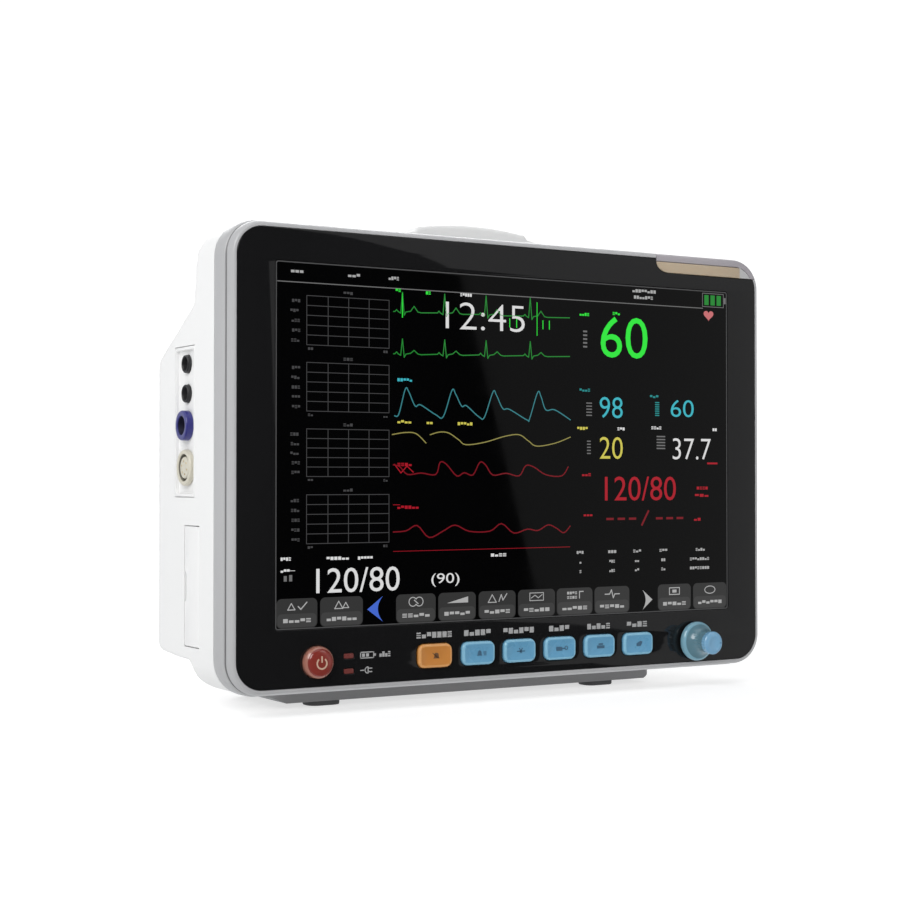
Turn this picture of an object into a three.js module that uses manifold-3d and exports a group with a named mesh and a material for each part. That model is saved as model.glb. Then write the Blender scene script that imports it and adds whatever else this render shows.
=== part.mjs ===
// Bedside patient monitor, 12.1-inch class: a bezel-framed glass front with keys and a rotary knob,
// a moulded rear case with side connector panel, carry handle, battery bay and strip recorder.
// Millimetres, +X to the right of the screen, +Y from the front to the rear, +Z up.
import * as THREE from "three";
import { mergeVertices } from "three/addons/utils/BufferGeometryUtils.js";
import Module from "manifold-3d";

// ---------- driving dimensions ----------
const PANEL_W = 314, PANEL_H = 218, PANEL_R = 13.5, PANEL_T = 3; // black front panel
const BEZEL = 4.0; // how far the frame stands out past the panel
const FRAME_D = 18.3; // depth of the front frame
const REAR_Y = 96; // rear face of the case
const KNOB_OUT = 18; // knob in front of the panel
const FOOT_Z = -14; // underside of the feet, below the panel's lower edge
const HANDLE_TOP = 234.3; // crest of the carry handle
const WALL = 2.8; // case wall
const GAP = 0.3; // clearance between neighbouring pieces
const WIN = { x0: 19.5, x1: 294.3, z0: 27.5, z1: 202.6, r: 1.5 }; // screen opening
const KEY_X = [106.5, 131.7, 156.5, 181.5, 206.6, 231.7], KEY_Z = 11.6, KEY_W = 19.2, KEY_H = 11.8, KEY_TRAVEL = 1.2;
const PWR = { x: 41.9, z: 11.7, r: 7.7, out: 5 };
const KNOB = { x: 270, z: 11.3, r: 10.5, cap: 6.15 };
const LED_Z = [13.8, 6.5], LED_X = 58.9; // battery and mains indicators
const LAMP = { x0: 245.4, z0: 210.6 }; // alarm lamp at the upper right corner
const CONN = { y0: 42.5, y1: 67, z0: 90.3, z1: 164, y: 54.8 }; // left connector recess
const JACK_Z = [155.6, 141.0], SPO2_Z = 125.3, ECG_Z = 104.6;
const BDOOR = { y0: 38, y1: 54.5, z0: 17.5, z1: 76, t: 3 }; // battery door
const REC = { y0: 32, y1: 78, z0: 100, z1: 158, t: 2.6 }; // recorder door
const HPIV = { y: 53, z: 205 }; // handle pivot
const PIN_R = 2;
const NOTCH = { x0: 110.8, x1: 203.2, y0: 30, z0: 196 }; // handle notch in the case top
const PLINTH = { x0: 36, x1: 266.6, y0: 33, y1: 90, z0: -11.6 };
const FOOT = { w: 18, d: 13, x: [64, 233], y: [40, 83] };

// ---------- geometry helpers ----------
const wasm = await Module();
wasm.setup();
function solid(geometry) {
  const g = geometry.index ? geometry.toNonIndexed() : geometry;
  const bare = new THREE.BufferGeometry().setAttribute("position", g.getAttribute("position"));
  const m = mergeVertices(bare, 1e-4);
  const tri = new Uint32Array(m.index.array);
  const make = (t) => new wasm.Manifold(new wasm.Mesh({ numProp: 3, vertProperties: new Float32Array(m.attributes.position.array), triVerts: t }));
  const s = make(tri);
  if (s.volume() > 0) return s;
  for (let i = 0; i < tri.length; i += 3) [tri[i + 1], tri[i + 2]] = [tri[i + 2], tri[i + 1]];
  return make(tri);
}
const V = (x, y) => new THREE.Vector2(x, y);
// rounded rectangle from corner to corner, as points
function rr(x0, x1, y0, y1, r, n = 6) {
  const p = [];
  const c = [[x1 - r, y0 + r, -90], [x1 - r, y1 - r, 0], [x0 + r, y1 - r, 90], [x0 + r, y0 + r, 180]];
  for (const [cx, cy, a] of c)
    for (let i = 0; i <= n; i++) {
      const t = ((a + (90 * i) / n) * Math.PI) / 180;
      p.push(V(cx + r * Math.cos(t), cy + r * Math.sin(t)));
    }
  return p;
}
// outline in X,Z drawn out along Y
const extY = (pts, y0, y1) => solid(new THREE.ExtrudeGeometry(new THREE.Shape(pts), { depth: y1 - y0, bevelEnabled: false }).rotateX(Math.PI / 2).translate(0, y1, 0));
// outline in Y,Z drawn out along X
const toX = new THREE.Matrix4().makeBasis(new THREE.Vector3(0, 1, 0), new THREE.Vector3(0, 0, 1), new THREE.Vector3(1, 0, 0));
const extX = (pts, x0, x1) => solid(new THREE.ExtrudeGeometry(new THREE.Shape(pts), { depth: x1 - x0, bevelEnabled: false }).applyMatrix4(toX).translate(x0, 0, 0));
// outline in X,Y drawn out along Z
const extZ = (pts, z0, z1) => solid(new THREE.ExtrudeGeometry(new THREE.Shape(pts), { depth: z1 - z0, bevelEnabled: false }).translate(0, 0, z0));
const box = (x0, x1, y0, y1, z0, z1) => solid(new THREE.BoxGeometry(x1 - x0, y1 - y0, z1 - z0).translate((x0 + x1) / 2, (y0 + y1) / 2, (z0 + z1) / 2));
const cylY = (x, z, r, y0, y1, n = 24) => solid(new THREE.CylinderGeometry(r, r, y1 - y0, n).translate(x, (y0 + y1) / 2, z));
const cylX = (y, z, r, x0, x1, n = 24) => solid(new THREE.CylinderGeometry(r, r, x1 - x0, n).rotateZ(Math.PI / 2).translate((x0 + x1) / 2, y, z));
const cylZ = (x, y, r, z0, z1, n = 24) => solid(new THREE.CylinderGeometry(r, r, z1 - z0, n).rotateX(Math.PI / 2).translate(x, y, (z0 + z1) / 2));
// turned profile of radius against Y
const turned = (pts, x, z, n = 32) => solid(new THREE.LatheGeometry(pts.map(([r, y]) => V(r, y)), n).translate(x, 0, z));
// skin through a stack of outlines with the same number of points
function loft(sections) {
  const pos = [];
  const n = sections[0].pts.length;
  const at = (i, k) => { const s = sections[i], q = s.pts[((k % n) + n) % n]; return [q.x, s.y, q.y]; };
  for (let i = 0; i + 1 < sections.length; i++)
    for (let k = 0; k < n; k++) pos.push(...at(i, k), ...at(i, k + 1), ...at(i + 1, k + 1), ...at(i, k), ...at(i + 1, k + 1), ...at(i + 1, k));
  for (const [i, flip] of [[0, true], [sections.length - 1, false]])
    for (const [a, b, c] of THREE.ShapeUtils.triangulateShape(sections[i].pts, []))
      pos.push(...at(i, a), ...(flip ? at(i, c) : at(i, b)), ...(flip ? at(i, b) : at(i, c)));
  return solid(new THREE.BufferGeometry().setAttribute("position", new THREE.Float32BufferAttribute(pos, 3)));
}
const panelOutline = (o, n = 8) => rr(-o, PANEL_W + o, -o, PANEL_H + o, PANEL_R + o, n);
const all = (list) => list.reduce((a, b) => a.add(b));

// ---------- finishes ----------
const mat = (color, roughness, metalness = 0) => new THREE.MeshStandardMaterial({ color, roughness, metalness });
const M = {
  grey: mat(0xb4b4b6, 0.45), white: mat(0xeeeeee, 0.5), black: mat(0x0b0b0d, 0.12), glass: mat(0x101216, 0.06),
  orange: mat(0xe79a2b, 0.4), blue: mat(0x74b8e0, 0.4), red: mat(0xa93a26, 0.3), knob: mat(0x8cc9ea, 0.2),
  lens: mat(0xcfae86, 0.25), cap: mat(0x8d8891, 0.4), pcb: mat(0x1f6b3a, 0.5), rubber: mat(0x2a2a2c, 0.85),
  steel: mat(0xb8bcc0, 0.35, 1), zinc: mat(0xa9adb1, 0.45, 1), dark: mat(0x1c1c1e, 0.6), navy: mat(0x23256f, 0.35),
  ivory: mat(0xd9d3c0, 0.45), plinth: mat(0x8f8f92, 0.6), paper: mat(0xf5f3ee, 0.9), silicone: mat(0x777a80, 0.7), brass: mat(0xc9a252, 0.35, 1),
};
const root = new THREE.Group();
root.position.set(-PANEL_W / 2, -(REAR_Y - KNOB_OUT) / 2, -FOOT_Z);
function add(name, shape, material) {
  const m = shape.getMesh();
  const g = new THREE.BufferGeometry().setAttribute("position", new THREE.BufferAttribute(new Float32Array(m.vertProperties), 3)).setIndex(new THREE.BufferAttribute(new Uint32Array(m.triVerts), 1));
  const mesh = new THREE.Mesh(g, material);
  mesh.name = name;
  root.add(mesh);
  return mesh;
}

// ---------- front frame ----------
// Two rounded bands with a groove between them run right round the panel.
const frameOuter = (yEnd) => {
  const p = [[0, 1.0], [1.2, 2.1], [3.2, 2.8], [4.9, 3.0], [5.6, 2.3], [6.6, 2.3], [7.3, 3.4], [9.2, BEZEL], [17.2, BEZEL], [FRAME_D, 3.6]];
  return loft(p.filter(([y]) => y <= yEnd).map(([y, o]) => ({ y, pts: panelOutline(o) })));
};
const LAMP_Y1 = 9.6;
const lampZone = box(LAMP.x0 - GAP, 330, -5, LAMP_Y1 + 1.5, LAMP.z0 - GAP, 230);
const frame = frameOuter(99)
  .subtract(extY(panelOutline(GAP), -1, PANEL_T + GAP))
  .subtract(extY(panelOutline(-1.5), -1, 8))
  .subtract(extY(panelOutline(1.8), 7.9, 20))
  .subtract(lampZone);
add("front_frame", frame, M.grey);

// ---------- glass-black front panel with its openings ----------
let panel = extY(panelOutline(0), 0, PANEL_T);
panel = panel.subtract(extY(rr(WIN.x0, WIN.x1, WIN.z0, WIN.z1, WIN.r, 3), -1, 5)).subtract(lampZone);
for (const x of KEY_X) panel = panel.subtract(extY(rr(x - KEY_W / 2 - GAP, x + KEY_W / 2 + GAP, KEY_Z - KEY_H / 2 - GAP, KEY_Z + KEY_H / 2 + GAP, 3.8, 4), -1, 5));
panel = panel.subtract(cylY(PWR.x, PWR.z, PWR.r + 0.4, -1, 5, 32)).subtract(cylY(KNOB.x, KNOB.z, 4.5, -1, 5));
for (const z of LED_Z) panel = panel.subtract(box(LED_X - 2.9, LED_X + 2.9, -1, 5, z - 1.5, z + 1.5));
add("front_panel", panel, M.black);
add("screen_glass", extY(rr(WIN.x0 + GAP, WIN.x1 - GAP, WIN.z0 + GAP, WIN.z1 - GAP, 1.2, 3), 0.4, 2.6), M.glass);
add("lcd_panel", box(15, 299, 3.4, 10.4, 24.5, 205.5), M.dark);
let bracket = box(8, 306, 10.8, 12, 24, 206);
for (const [a, b] of [[26, 150], [164, 288]]) bracket = bracket.subtract(box(a, b, 10, 13, 44, 186));
add("lcd_bracket", bracket, M.zinc);

// ---------- alarm lamp: clear lens in front of a grey cap that follows the frame ----------
const lampBox = (x0, z0, y1) => box(x0, 330, -1, y1, z0, 230);
add("alarm_cap", frameOuter(LAMP_Y1).subtract(extY(panelOutline(GAP - 1.6), -1, 20)).intersect(lampBox(LAMP.x0, LAMP.z0, 99)), M.cap);
add("alarm_lens", extY(panelOutline(-1.6), 0, LAMP_Y1).intersect(extY(rr(LAMP.x0, 400, LAMP.z0, 400, 6.5, 6), -1, 99)), M.lens);
add("alarm_led_board", box(244, 304, 12.6, 13.8, 209.5, 216), M.pcb);

// ---------- power button, keys, indicators ----------
add("power_button", turned([[0, -PWR.out], [3.6, -PWR.out + 0.25], [6.0, -PWR.out + 1.0], [7.2, -PWR.out + 2.2], [PWR.r, -PWR.out + 3.6], [PWR.r, PANEL_T + GAP], [8.9, PANEL_T + GAP], [8.9, 4.5], [2.5, 4.5], [2.5, 5.8], [0, 5.8]], PWR.x, PWR.z), M.red);
const KEYS = ["key_silence", "key_pause", "key_freeze", "key_nibp", "key_print", "key_menu"];
KEYS.forEach((name, i) => {
  const x = KEY_X[i];
  const cut = (o, r) => rr(x - KEY_W / 2 + o, x + KEY_W / 2 - o, KEY_Z - KEY_H / 2 + o, KEY_Z + KEY_H / 2 - o, r, 4);
  const cap = loft([{ y: -1.8, pts: cut(0.9, 2.6) }, { y: -1.3, pts: cut(0.2, 3.3) }, { y: PANEL_T + GAP + 0.1, pts: cut(0, 3.5) }]);
  const flange = box(x - 10.8, x + 10.8, PANEL_T + GAP, 4.5, KEY_Z - 7.1, KEY_Z + 7.1);
  add(name, cap.add(flange).add(box(x - 3, x + 3, 4.4, 6.2, KEY_Z - 3, KEY_Z + 3)), i ? M.blue : M.orange);
});
add("battery_led_lens", box(LED_X - 2.6, LED_X + 2.6, 0.1, 7.3, LED_Z[0] - 1.2, LED_Z[0] + 1.2), M.red);
add("mains_led_lens", box(LED_X - 2.6, LED_X + 2.6, 0.1, 7.3, LED_Z[1] - 1.2, LED_Z[1] + 1.2), M.red);
add("keypad_membrane", box(28, 248, 7.7, 8.8, 3.2, 20.2), M.silicone);
add("keypad_board", box(26, 292, 9.1, 10.7, 2.6, 20.8), M.pcb);

// ---------- rotary knob on a push encoder ----------
const knob = turned([[0, -KNOB_OUT], [4.2, -KNOB_OUT + 0.15], [5.6, -KNOB_OUT + 0.7], [KNOB.cap, -KNOB_OUT + 1.7], [KNOB.cap, -14.6], [5.7, -11.4], [6.0, -8.6], [7.4, -6.2], [9.2, -4.9], [10.1, -4.4], [KNOB.r, -3.8], [KNOB.r, -2.0], [10.1, -1.5], [4.2, -1.2], [0, -1.2]], KNOB.x, KNOB.z, 36);
add("knob", knob.subtract(cylY(KNOB.x, KNOB.z, 3.35, -14, 0)), M.knob);
add("encoder_shaft", cylY(KNOB.x, KNOB.z, 3, -13.6, 8.0), M.steel);
add("encoder_body", box(KNOB.x - 6.5, KNOB.x + 6.5, 3.8, 8.8, KNOB.z - 6.5, KNOB.z + 6.5).subtract(cylY(KNOB.x, KNOB.z, 3.4, 3, 9)), M.dark);

// ---------- rear case ----------
const S0 = FRAME_D + GAP, TAPER = 0.3, SIDE = 3.65; // the case stands SIDE out past the panel
const sideX = (y) => -SIDE + (TAPER * (y - S0)) / (REAR_Y - S0); // left wall, the right one is its mirror image
const outline = (o, y) => rr(sideX(y) + o, PANEL_W - sideX(y) - o, -SIDE + o, PANEL_H + SIDE - o, 17 - o * 0.6, 8);
const sideOuter = [[S0, -3.65], [44.5, -3.2], [46.8, -1.2], [48.2, 3.5], [48.6, 10.4], [66, 10.9], [82, 11.9], [88, 13.2], [92.6, 15.8], [95.2, 19.6], [REAR_Y, 24.5], [REAR_Y, 147], [95.2, 152], [92.4, 156.6], [87.8, 160.6], [83.2, 163.3], [63.5, 173.9], [54.4, 179.5], [48, 182.6], [45, 185.2], [43.8, 188], [43, 195.5], [42.2, 203], [41.3, 207], [40, 212.5], [38.6, 216.6], [35.5, 218.8], [30, 219.8], [S0, 220.8]];
const sideInner = [[8, -0.8], [43, -0.6], [44.8, 1.2], [45.6, 6], [46, 13.3], [66, 13.8], [81.6, 14.8], [87, 16], [90.6, 18], [92.6, 21.4], [93.2, 26], [93.2, 146.4], [92.6, 150.4], [90.6, 154.2], [86.6, 157.6], [81.8, 160.8], [62, 171.4], [53, 177], [46.4, 180.2], [42.6, 183.4], [41.1, 187.4], [40.2, 195], [39.4, 202.6], [38.4, 206.6], [37.2, 211.6], [36.2, 214.4], [34.4, 216], [29.6, 217], [8, 218.2]];
const plan = (o, y0, r) => { const y1 = REAR_Y - o; return [V(sideX(y0) + o - 3, y0), V(PANEL_W - sideX(y0) - o + 3, y0), ...[0, 1, 2, 3, 4, 5, 6].map((i) => { const t = (Math.PI / 2 / 6) * i; return V(PANEL_W - sideX(REAR_Y) - o - r + r * Math.cos(t), y1 - r + r * Math.sin(t)); }), ...[0, 1, 2, 3, 4, 5, 6].map((i) => { const t = Math.PI / 2 + (Math.PI / 2 / 6) * i; return V(sideX(REAR_Y) + o + r + r * Math.cos(t), y1 - r + r * Math.sin(t)); })]; };
const hull = (o, y0, side, r) => loft([{ y: y0, pts: outline(o, Math.max(y0, S0)) }, { y: REAR_Y + 4, pts: outline(o, REAR_Y) }]).intersect(extX(side.map(([y, z]) => V(y, z)), -20, 340)).intersect(extZ(plan(o, y0, r), -20, 240));
const caseOuter = hull(0, S0, sideOuter, 9);
let caseInner = hull(WALL, 8, sideInner, 6.2);
// the notch for the handle, the pocket for the mounting plate and the wall left behind them
caseInner = caseInner.subtract(box(NOTCH.x0 - WALL, NOTCH.x1 + WALL, NOTCH.y0 - WALL, 99, NOTCH.z0 - WALL, 240)).subtract(box(103, 211, 90.4, 99, 26, 134));
let rear = caseOuter.subtract(caseInner);
// two ears behind the ridge carry the handle's pins
const earPts = [V(32, 192), V(32, 213.5), V(52, 213.8)];
for (let i = 1; i <= 6; i++) { const t = Math.PI / 2 - ((Math.PI / 2) * i) / 6; earPts.push(V(53 + 8.8 * Math.cos(t), 205 + 8.8 * Math.sin(t))); }
earPts.push(V(61, 196), V(57, 182), V(55, 177.5), V(50, 180.5));
for (const [a, b] of [[101.5, NOTCH.x0], [NOTCH.x1, 212.5]]) rear = rear.add(extX(earPts, a, b));
const bossAt = [[16, 26], [298, 26], [16, 150], [298, 150]];
rear = rear.add(all(bossAt.map(([x, z]) => cylY(x, z, 6, 84, 94, 16))));
rear = rear.subtract(box(NOTCH.x0, NOTCH.x1, NOTCH.y0, 99, NOTCH.z0, 240)).subtract(box(106.7, 207.3, 93.4, 99, 29.7, 130.3));
for (const [x, z] of bossAt) rear = rear.subtract(cylY(x, z, 4.2, 90, 99, 20)).subtract(cylY(x, z, 2, 80, 99, 12));
// pivot bores, connector panel, battery door, recorder, cuff port, rear sockets
rear = rear.subtract(cylX(HPIV.y, HPIV.z, PIN_R + GAP, 106.5, 207.5, 16));
rear = rear.subtract(box(-12, 8, CONN.y0 - GAP, CONN.y1 + GAP, CONN.z0 - GAP, CONN.z1 + GAP));
rear = rear.subtract(box(-12, 8, BDOOR.y0 - 2.2, BDOOR.y1 + 0.4, BDOOR.z0 - 0.4, BDOOR.z1 + 0.4));
rear = rear.subtract(box(306, 330, REC.y0 - 0.4, REC.y1 + 0.4, REC.z0 - 2.2, REC.z1 + 0.4));
rear = rear.subtract(cylX(62, 72, 8, 306, 330, 24));
const INLET = { x0: 236, x1: 268, z0: 22, z1: 46 };
rear = rear.subtract(box(INLET.x0 - GAP, INLET.x1 + GAP, 86, 99, INLET.z0 - GAP, INLET.z1 + GAP));
rear = rear.subtract(cylY(224, 34, 6.8, 86, 99, 20)).subtract(box(70, 88, 86, 99, 24, 40)).subtract(cylY(56, 32, 4.2, 86, 99, 20));
// cooling slots and speaker grille
for (let i = 0; i < 9; i++) rear = rear.subtract(box(226, 284, 86, 99, 102 + i * 5.4, 104.4 + i * 5.4));
for (let i = 0; i < 6; i++) rear = rear.subtract(box(34, 78, 86, 99, 112 + i * 5.4, 114.4 + i * 5.4));
for (let i = 0; i < 5; i++) rear = rear.subtract(box(270, 300, 86, 99, 62 + i * 5, 64 + i * 5));
add("rear_shell", rear, M.white);

// ---------- plinth and feet ----------
const trayOut = extZ(rr(PLINTH.x0, PLINTH.x1, PLINTH.y0, PLINTH.y1, 6, 4), PLINTH.z0, 12.6);
const trayIn = extZ(rr(PLINTH.x0 + 3, PLINTH.x1 - 3, PLINTH.y0 + 3, PLINTH.y1 - 3, 3, 3), PLINTH.z0 + 3, 20);
const under = extX(sideOuter.map(([y, z]) => V(y, z - GAP)), -20, 340);
let tray = trayOut.subtract(trayIn).subtract(under);
for (const [e, s] of [[PLINTH.x0, 1], [PLINTH.x1, -1]]) {
  const tri = [V(e - s * 2, PLINTH.z0 - 1), V(e + s * 7.7, PLINTH.z0 - 1), V(e - s * 2, PLINTH.z0 + 3.4)];
  tray = tray.subtract(extY(s > 0 ? tri : tri.reverse(), 20, 99));
}
add("base_plinth", tray, M.plinth);
[["foot_front_left", 0, 0], ["foot_front_right", 1, 0], ["foot_rear_left", 0, 1], ["foot_rear_right", 1, 1]].forEach(([n, i, j]) => {
  const x = FOOT.x[i], y = FOOT.y[j];
  add(n, extZ(rr(x - FOOT.w / 2, x + FOOT.w / 2, y - FOOT.d / 2, y + FOOT.d / 2, 5, 5), FOOT_Z, PLINTH.z0 - 0.05), M.rubber);
});

// ---------- carry handle: a bowed bail on two pins ----------
const arch = (half, top, R, z0) => {
  const p = [V(157 - half, z0)];
  const c = top - R;
  const zs = c + Math.sqrt(R * R - (half - 3) * (half - 3));
  p.push(V(157 - half, zs - 3));
  for (let i = 0; i <= 14; i++) { const x = -(half - 3) + ((2 * (half - 3)) * i) / 14; p.push(V(157 + x, c + Math.sqrt(R * R - x * x))); }
  p.push(V(157 + half, zs - 3), V(157 + half, z0));
  return p;
};
const HY0 = HPIV.y - 7.5, HY1 = HPIV.y + 7.5;
let handle = extY(arch(45, HANDLE_TOP - 2.2, 230, HPIV.z), HY0, HY1).add(extY(arch(34.5, HANDLE_TOP, 210, 224), HY0, HY1));
handle = handle.add(all([[112, 123], [191, 202]].map(([a, b]) => cylX(HPIV.y, HPIV.z, 7.5, a, b, 20))));
handle = handle.subtract(extY(arch(35, 220.5, 120, 180), HY0 - 1, HY1 + 1)).subtract(cylX(HPIV.y, HPIV.z, PIN_R + GAP, 90, 224, 16));
add("handle", handle, M.white);
add("handle_pin_left", cylX(HPIV.y, HPIV.z, PIN_R, 107, 121.5, 16), M.steel);
add("handle_pin_right", cylX(HPIV.y, HPIV.z, PIN_R, 192.5, 207, 16), M.steel);

// ---------- left connector panel ----------
const DIP = 1.9; // depth of the recess
const surf = (y) => sideX(y) - 0.05;
const cpOuter = [V(surf(CONN.y0), CONN.y0), V(3, CONN.y0), V(3, CONN.y1), V(surf(CONN.y1), CONN.y1)];
const recess = [V(-9, CONN.y0 + 1), V(surf(CONN.y0) + DIP, CONN.y0 + 1), V(surf(CONN.y1) + DIP, CONN.y1 - 1), V(-9, CONN.y1 - 1)];
const floorX = (y) => surf(y) + DIP;
let cpanel = extZ(cpOuter, CONN.z0, CONN.z1).subtract(extZ(recess, CONN.z0 + 1.6, CONN.z1 - 1.6)).add(box(-0.35, 2.4, CONN.y0 - 3, CONN.y1 + 2.5, 87, 166.3));
for (const z of JACK_Z) cpanel = cpanel.subtract(cylX(CONN.y, z, 4.75, -9, 9, 24));
cpanel = cpanel.subtract(cylX(CONN.y, SPO2_Z, 6.2, -9, 9, 24)).subtract(cylX(CONN.y, ECG_Z, 7.9, -9, 9, 24));
add("connector_panel", cpanel, M.white);
const fx = floorX(CONN.y);
JACK_Z.forEach((z, i) => add(`temp_jack_${i + 1}`, cylX(CONN.y, z, 4.45, fx - 2, 17, 24).subtract(cylX(CONN.y, z, 3.2, -9, 14, 20)), M.dark));
// each socket has a collar that sits on the recess floor and a body that goes through it
const behindFloor = extZ([V(floorX(CONN.y0) - GAP, CONN.y0), V(20, CONN.y0), V(20, CONN.y1), V(floorX(CONN.y1) - GAP, CONN.y1)], CONN.z0, CONN.z1);
const socket = (z, rOut, rBody, rBore, out) => cylX(CONN.y, z, rOut, fx - out, fx + 3, 28).subtract(behindFloor).add(cylX(CONN.y, z, rBody, fx - out + 0.1, 16, 24)).subtract(cylX(CONN.y, z, rBore, -12, 12, 24));
add("spo2_socket", socket(SPO2_Z, 7.4, 5.9, 4.6, 3.9), M.navy);
add("ecg_socket", socket(ECG_Z, 8.9, 7.6, 6.7, 2.6).add(cylX(CONN.y, ECG_Z, 5.4, fx - 1.2, 12.5, 20)), M.ivory);

// ---------- right side: cuff port and strip recorder ----------
const rx = (y) => PANEL_W - sideX(y);
add("nibp_port", cylX(62, 72, 7.7, rx(62) - 8, rx(62) + 0.2, 24).add(cylX(62, 72, 5, 300, rx(62) + 2.08, 24)).subtract(cylX(62, 72, 3.2, 303, 330, 20)), M.steel);
let bucket = box(272, 308.5, REC.y0 - 1.4, REC.y1 + 1.4, REC.z0 - 1.4, REC.z1 + 1.4).subtract(box(273.6, 330, REC.y0 + 0.2, REC.y1 - 0.2, REC.z0 + 0.2, REC.z1 - 0.2));
add("recorder_housing", bucket, M.dark);
const ROLL = { x: 292, z: 122, r: 15 };
add("paper_roll", cylY(ROLL.x, ROLL.z, ROLL.r, REC.y0 + 1.2, REC.y1 - 1.2, 28), M.paper);
// the recorder door turns on its rounded lower edge
const RH = { x: rx(55) - 2.4, z: REC.z0 };
const dz = (k) => RH.z + k;
const rdoorPts = []; // X,Z outline
for (let i = 0; i <= 8; i++) { const t = Math.PI + (Math.PI * i) / 8; rdoorPts.push(V(RH.x + 1.7 * Math.cos(t), RH.z + 1.7 * Math.sin(t))); }
rdoorPts.push(V(RH.x + 1.9, dz(3)), V(RH.x + 1.9, REC.z1 - 1.5), V(RH.x + 0.9, REC.z1), V(RH.x - 1.7, REC.z1));
add("recorder_door", extY(rdoorPts, REC.y0, REC.y1), M.white);

// ---------- battery door, bay and pack ----------
const BH = { x: sideX(BDOOR.y0) + 1.9, y: BDOOR.y0 };
const bPts = []; // X,Y outline, turning on its rounded front edge
for (let i = 0; i <= 8; i++) { const t = (Math.PI * i) / 8; bPts.push(V(BH.x + 1.6 * Math.cos(t), BH.y - 1.6 * Math.sin(t))); }
bPts.push(V(sideX(BDOOR.y0 + 3) + 0.02, BDOOR.y0 + 3), V(sideX(BDOOR.y1) + 0.02, BDOOR.y1), V(sideX(BDOOR.y1) + BDOOR.t, BDOOR.y1), V(BH.x + 1.6, BDOOR.y0 + 3));
add("battery_door", extZ(bPts, BDOOR.z0, BDOOR.z1), M.white);
add("battery_bay", box(3.2, 150, 36.6, 56.6, 14.6, 78.6).subtract(box(0, 148.6, 38, 55.2, 16.2, 77.2)), M.dark);
add("battery_pack", box(4.6, 146, 39, 53.9, 18.5, 75), M.navy);

// ---------- inside the case ----------
let chassis = box(10, 304, 33, 34.5, 26, 180);
for (const [a, b] of [[30, 100], [120, 194], [214, 284]]) chassis = chassis.subtract(box(a, b, 32, 36, 150, 172));
chassis = chassis.subtract(box(268, 310, 30, 40, 94, 164)); // room for the recorder
add("chassis_plate", chassis, M.zinc);
add("main_board", box(116, 262, 25, 26.6, 48, 182).add(box(160, 200, 26.5, 30, 120, 160)).add(box(214, 236, 26.5, 29, 80, 104)).add(box(130, 150, 26.5, 31, 60, 96)), M.pcb);
add("parameter_board", box(12, 108, 25, 26.6, 84, 182).add(box(20, 96, 26.5, 31.6, 96, 168)), M.pcb);
add("power_supply", box(158, 262, 36, 37.6, 46, 94).add(box(166, 196, 37.5, 66, 52, 88)).add(box(204, 228, 37.5, 60, 52, 88)).add(box(234, 256, 37.5, 70, 56, 84)), M.pcb);
add("nibp_pump", cylX(72, 130, 14, 96, 140, 24).add(cylX(72, 130, 11.5, 139, 166, 24)), M.dark);
add("nibp_valve", box(112, 136, 60, 82, 92, 108).add(cylX(71, 100, 3, 135, 146, 12)), M.zinc);
add("speaker", turned([[0, 74], [10, 74], [10, 82], [19, 89], [19.5, 92], [0, 92]], 285, 72, 24), M.dark);
let inlet = box(INLET.x0, INLET.x1, 78, REAR_Y - 0.4, INLET.z0, INLET.z1).subtract(extY([V(240, 28.5), V(243.5, 25), V(260.5, 25), V(264, 28.5), V(264, 43), V(240, 43)], 81, 99));
for (const [x, z] of [[245, 32], [259, 32], [252, 38]]) inlet = inlet.add(box(x - 1, x + 1, 80, 92, z - 2, z + 2));
add("ac_inlet", inlet, M.dark);
add("fuse_holder", cylY(224, 34, 6.5, 76, REAR_Y - 0.4, 20).subtract(box(222.9, 225.1, REAR_Y - 2, 99, 29.5, 38.5)), M.dark);
add("network_jack", box(70.3, 87.7, 76, REAR_Y - 0.6, 24.3, 39.7).subtract(box(72.5, 85.5, 84, 99, 27, 35)).subtract(box(76, 82, 84, 99, 34, 38)), M.zinc);
add("ground_stud", cylY(56, 32, 3.9, 84, REAR_Y - 1, 20).add(cylY(56, 32, 2.4, 94, REAR_Y - 0.1, 16)), M.brass);
let mount = extY(rr(107, 207, 30, 130, 4, 3), 93.7, REAR_Y - 0.2);
for (const x of [119.5, 194.5]) for (const z of [42.5, 117.5]) mount = mount.subtract(cylY(x, z, 2.2, 90, 99, 16));
add("mount_plate", mount, M.zinc);
["case_screw_lower_right", "case_screw_lower_left", "case_screw_upper_right", "case_screw_upper_left"].forEach((n, i) => {
  const [x, z] = bossAt[i];
  add(n, cylY(x, z, 3.8, 90.3, 92.8, 20).add(cylY(x, z, 1.7, 82, 90.5, 12)).subtract(box(x - 2.6, x + 2.6, 91.6, 94, z - 0.5, z + 0.5)).subtract(box(x - 0.5, x + 0.5, 91.6, 94, z - 2.6, z + 2.6)), M.steel);
});

export default root;
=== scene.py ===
import bmesh
import bpy
import math
import random
from mathutils import Matrix, Vector


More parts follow.
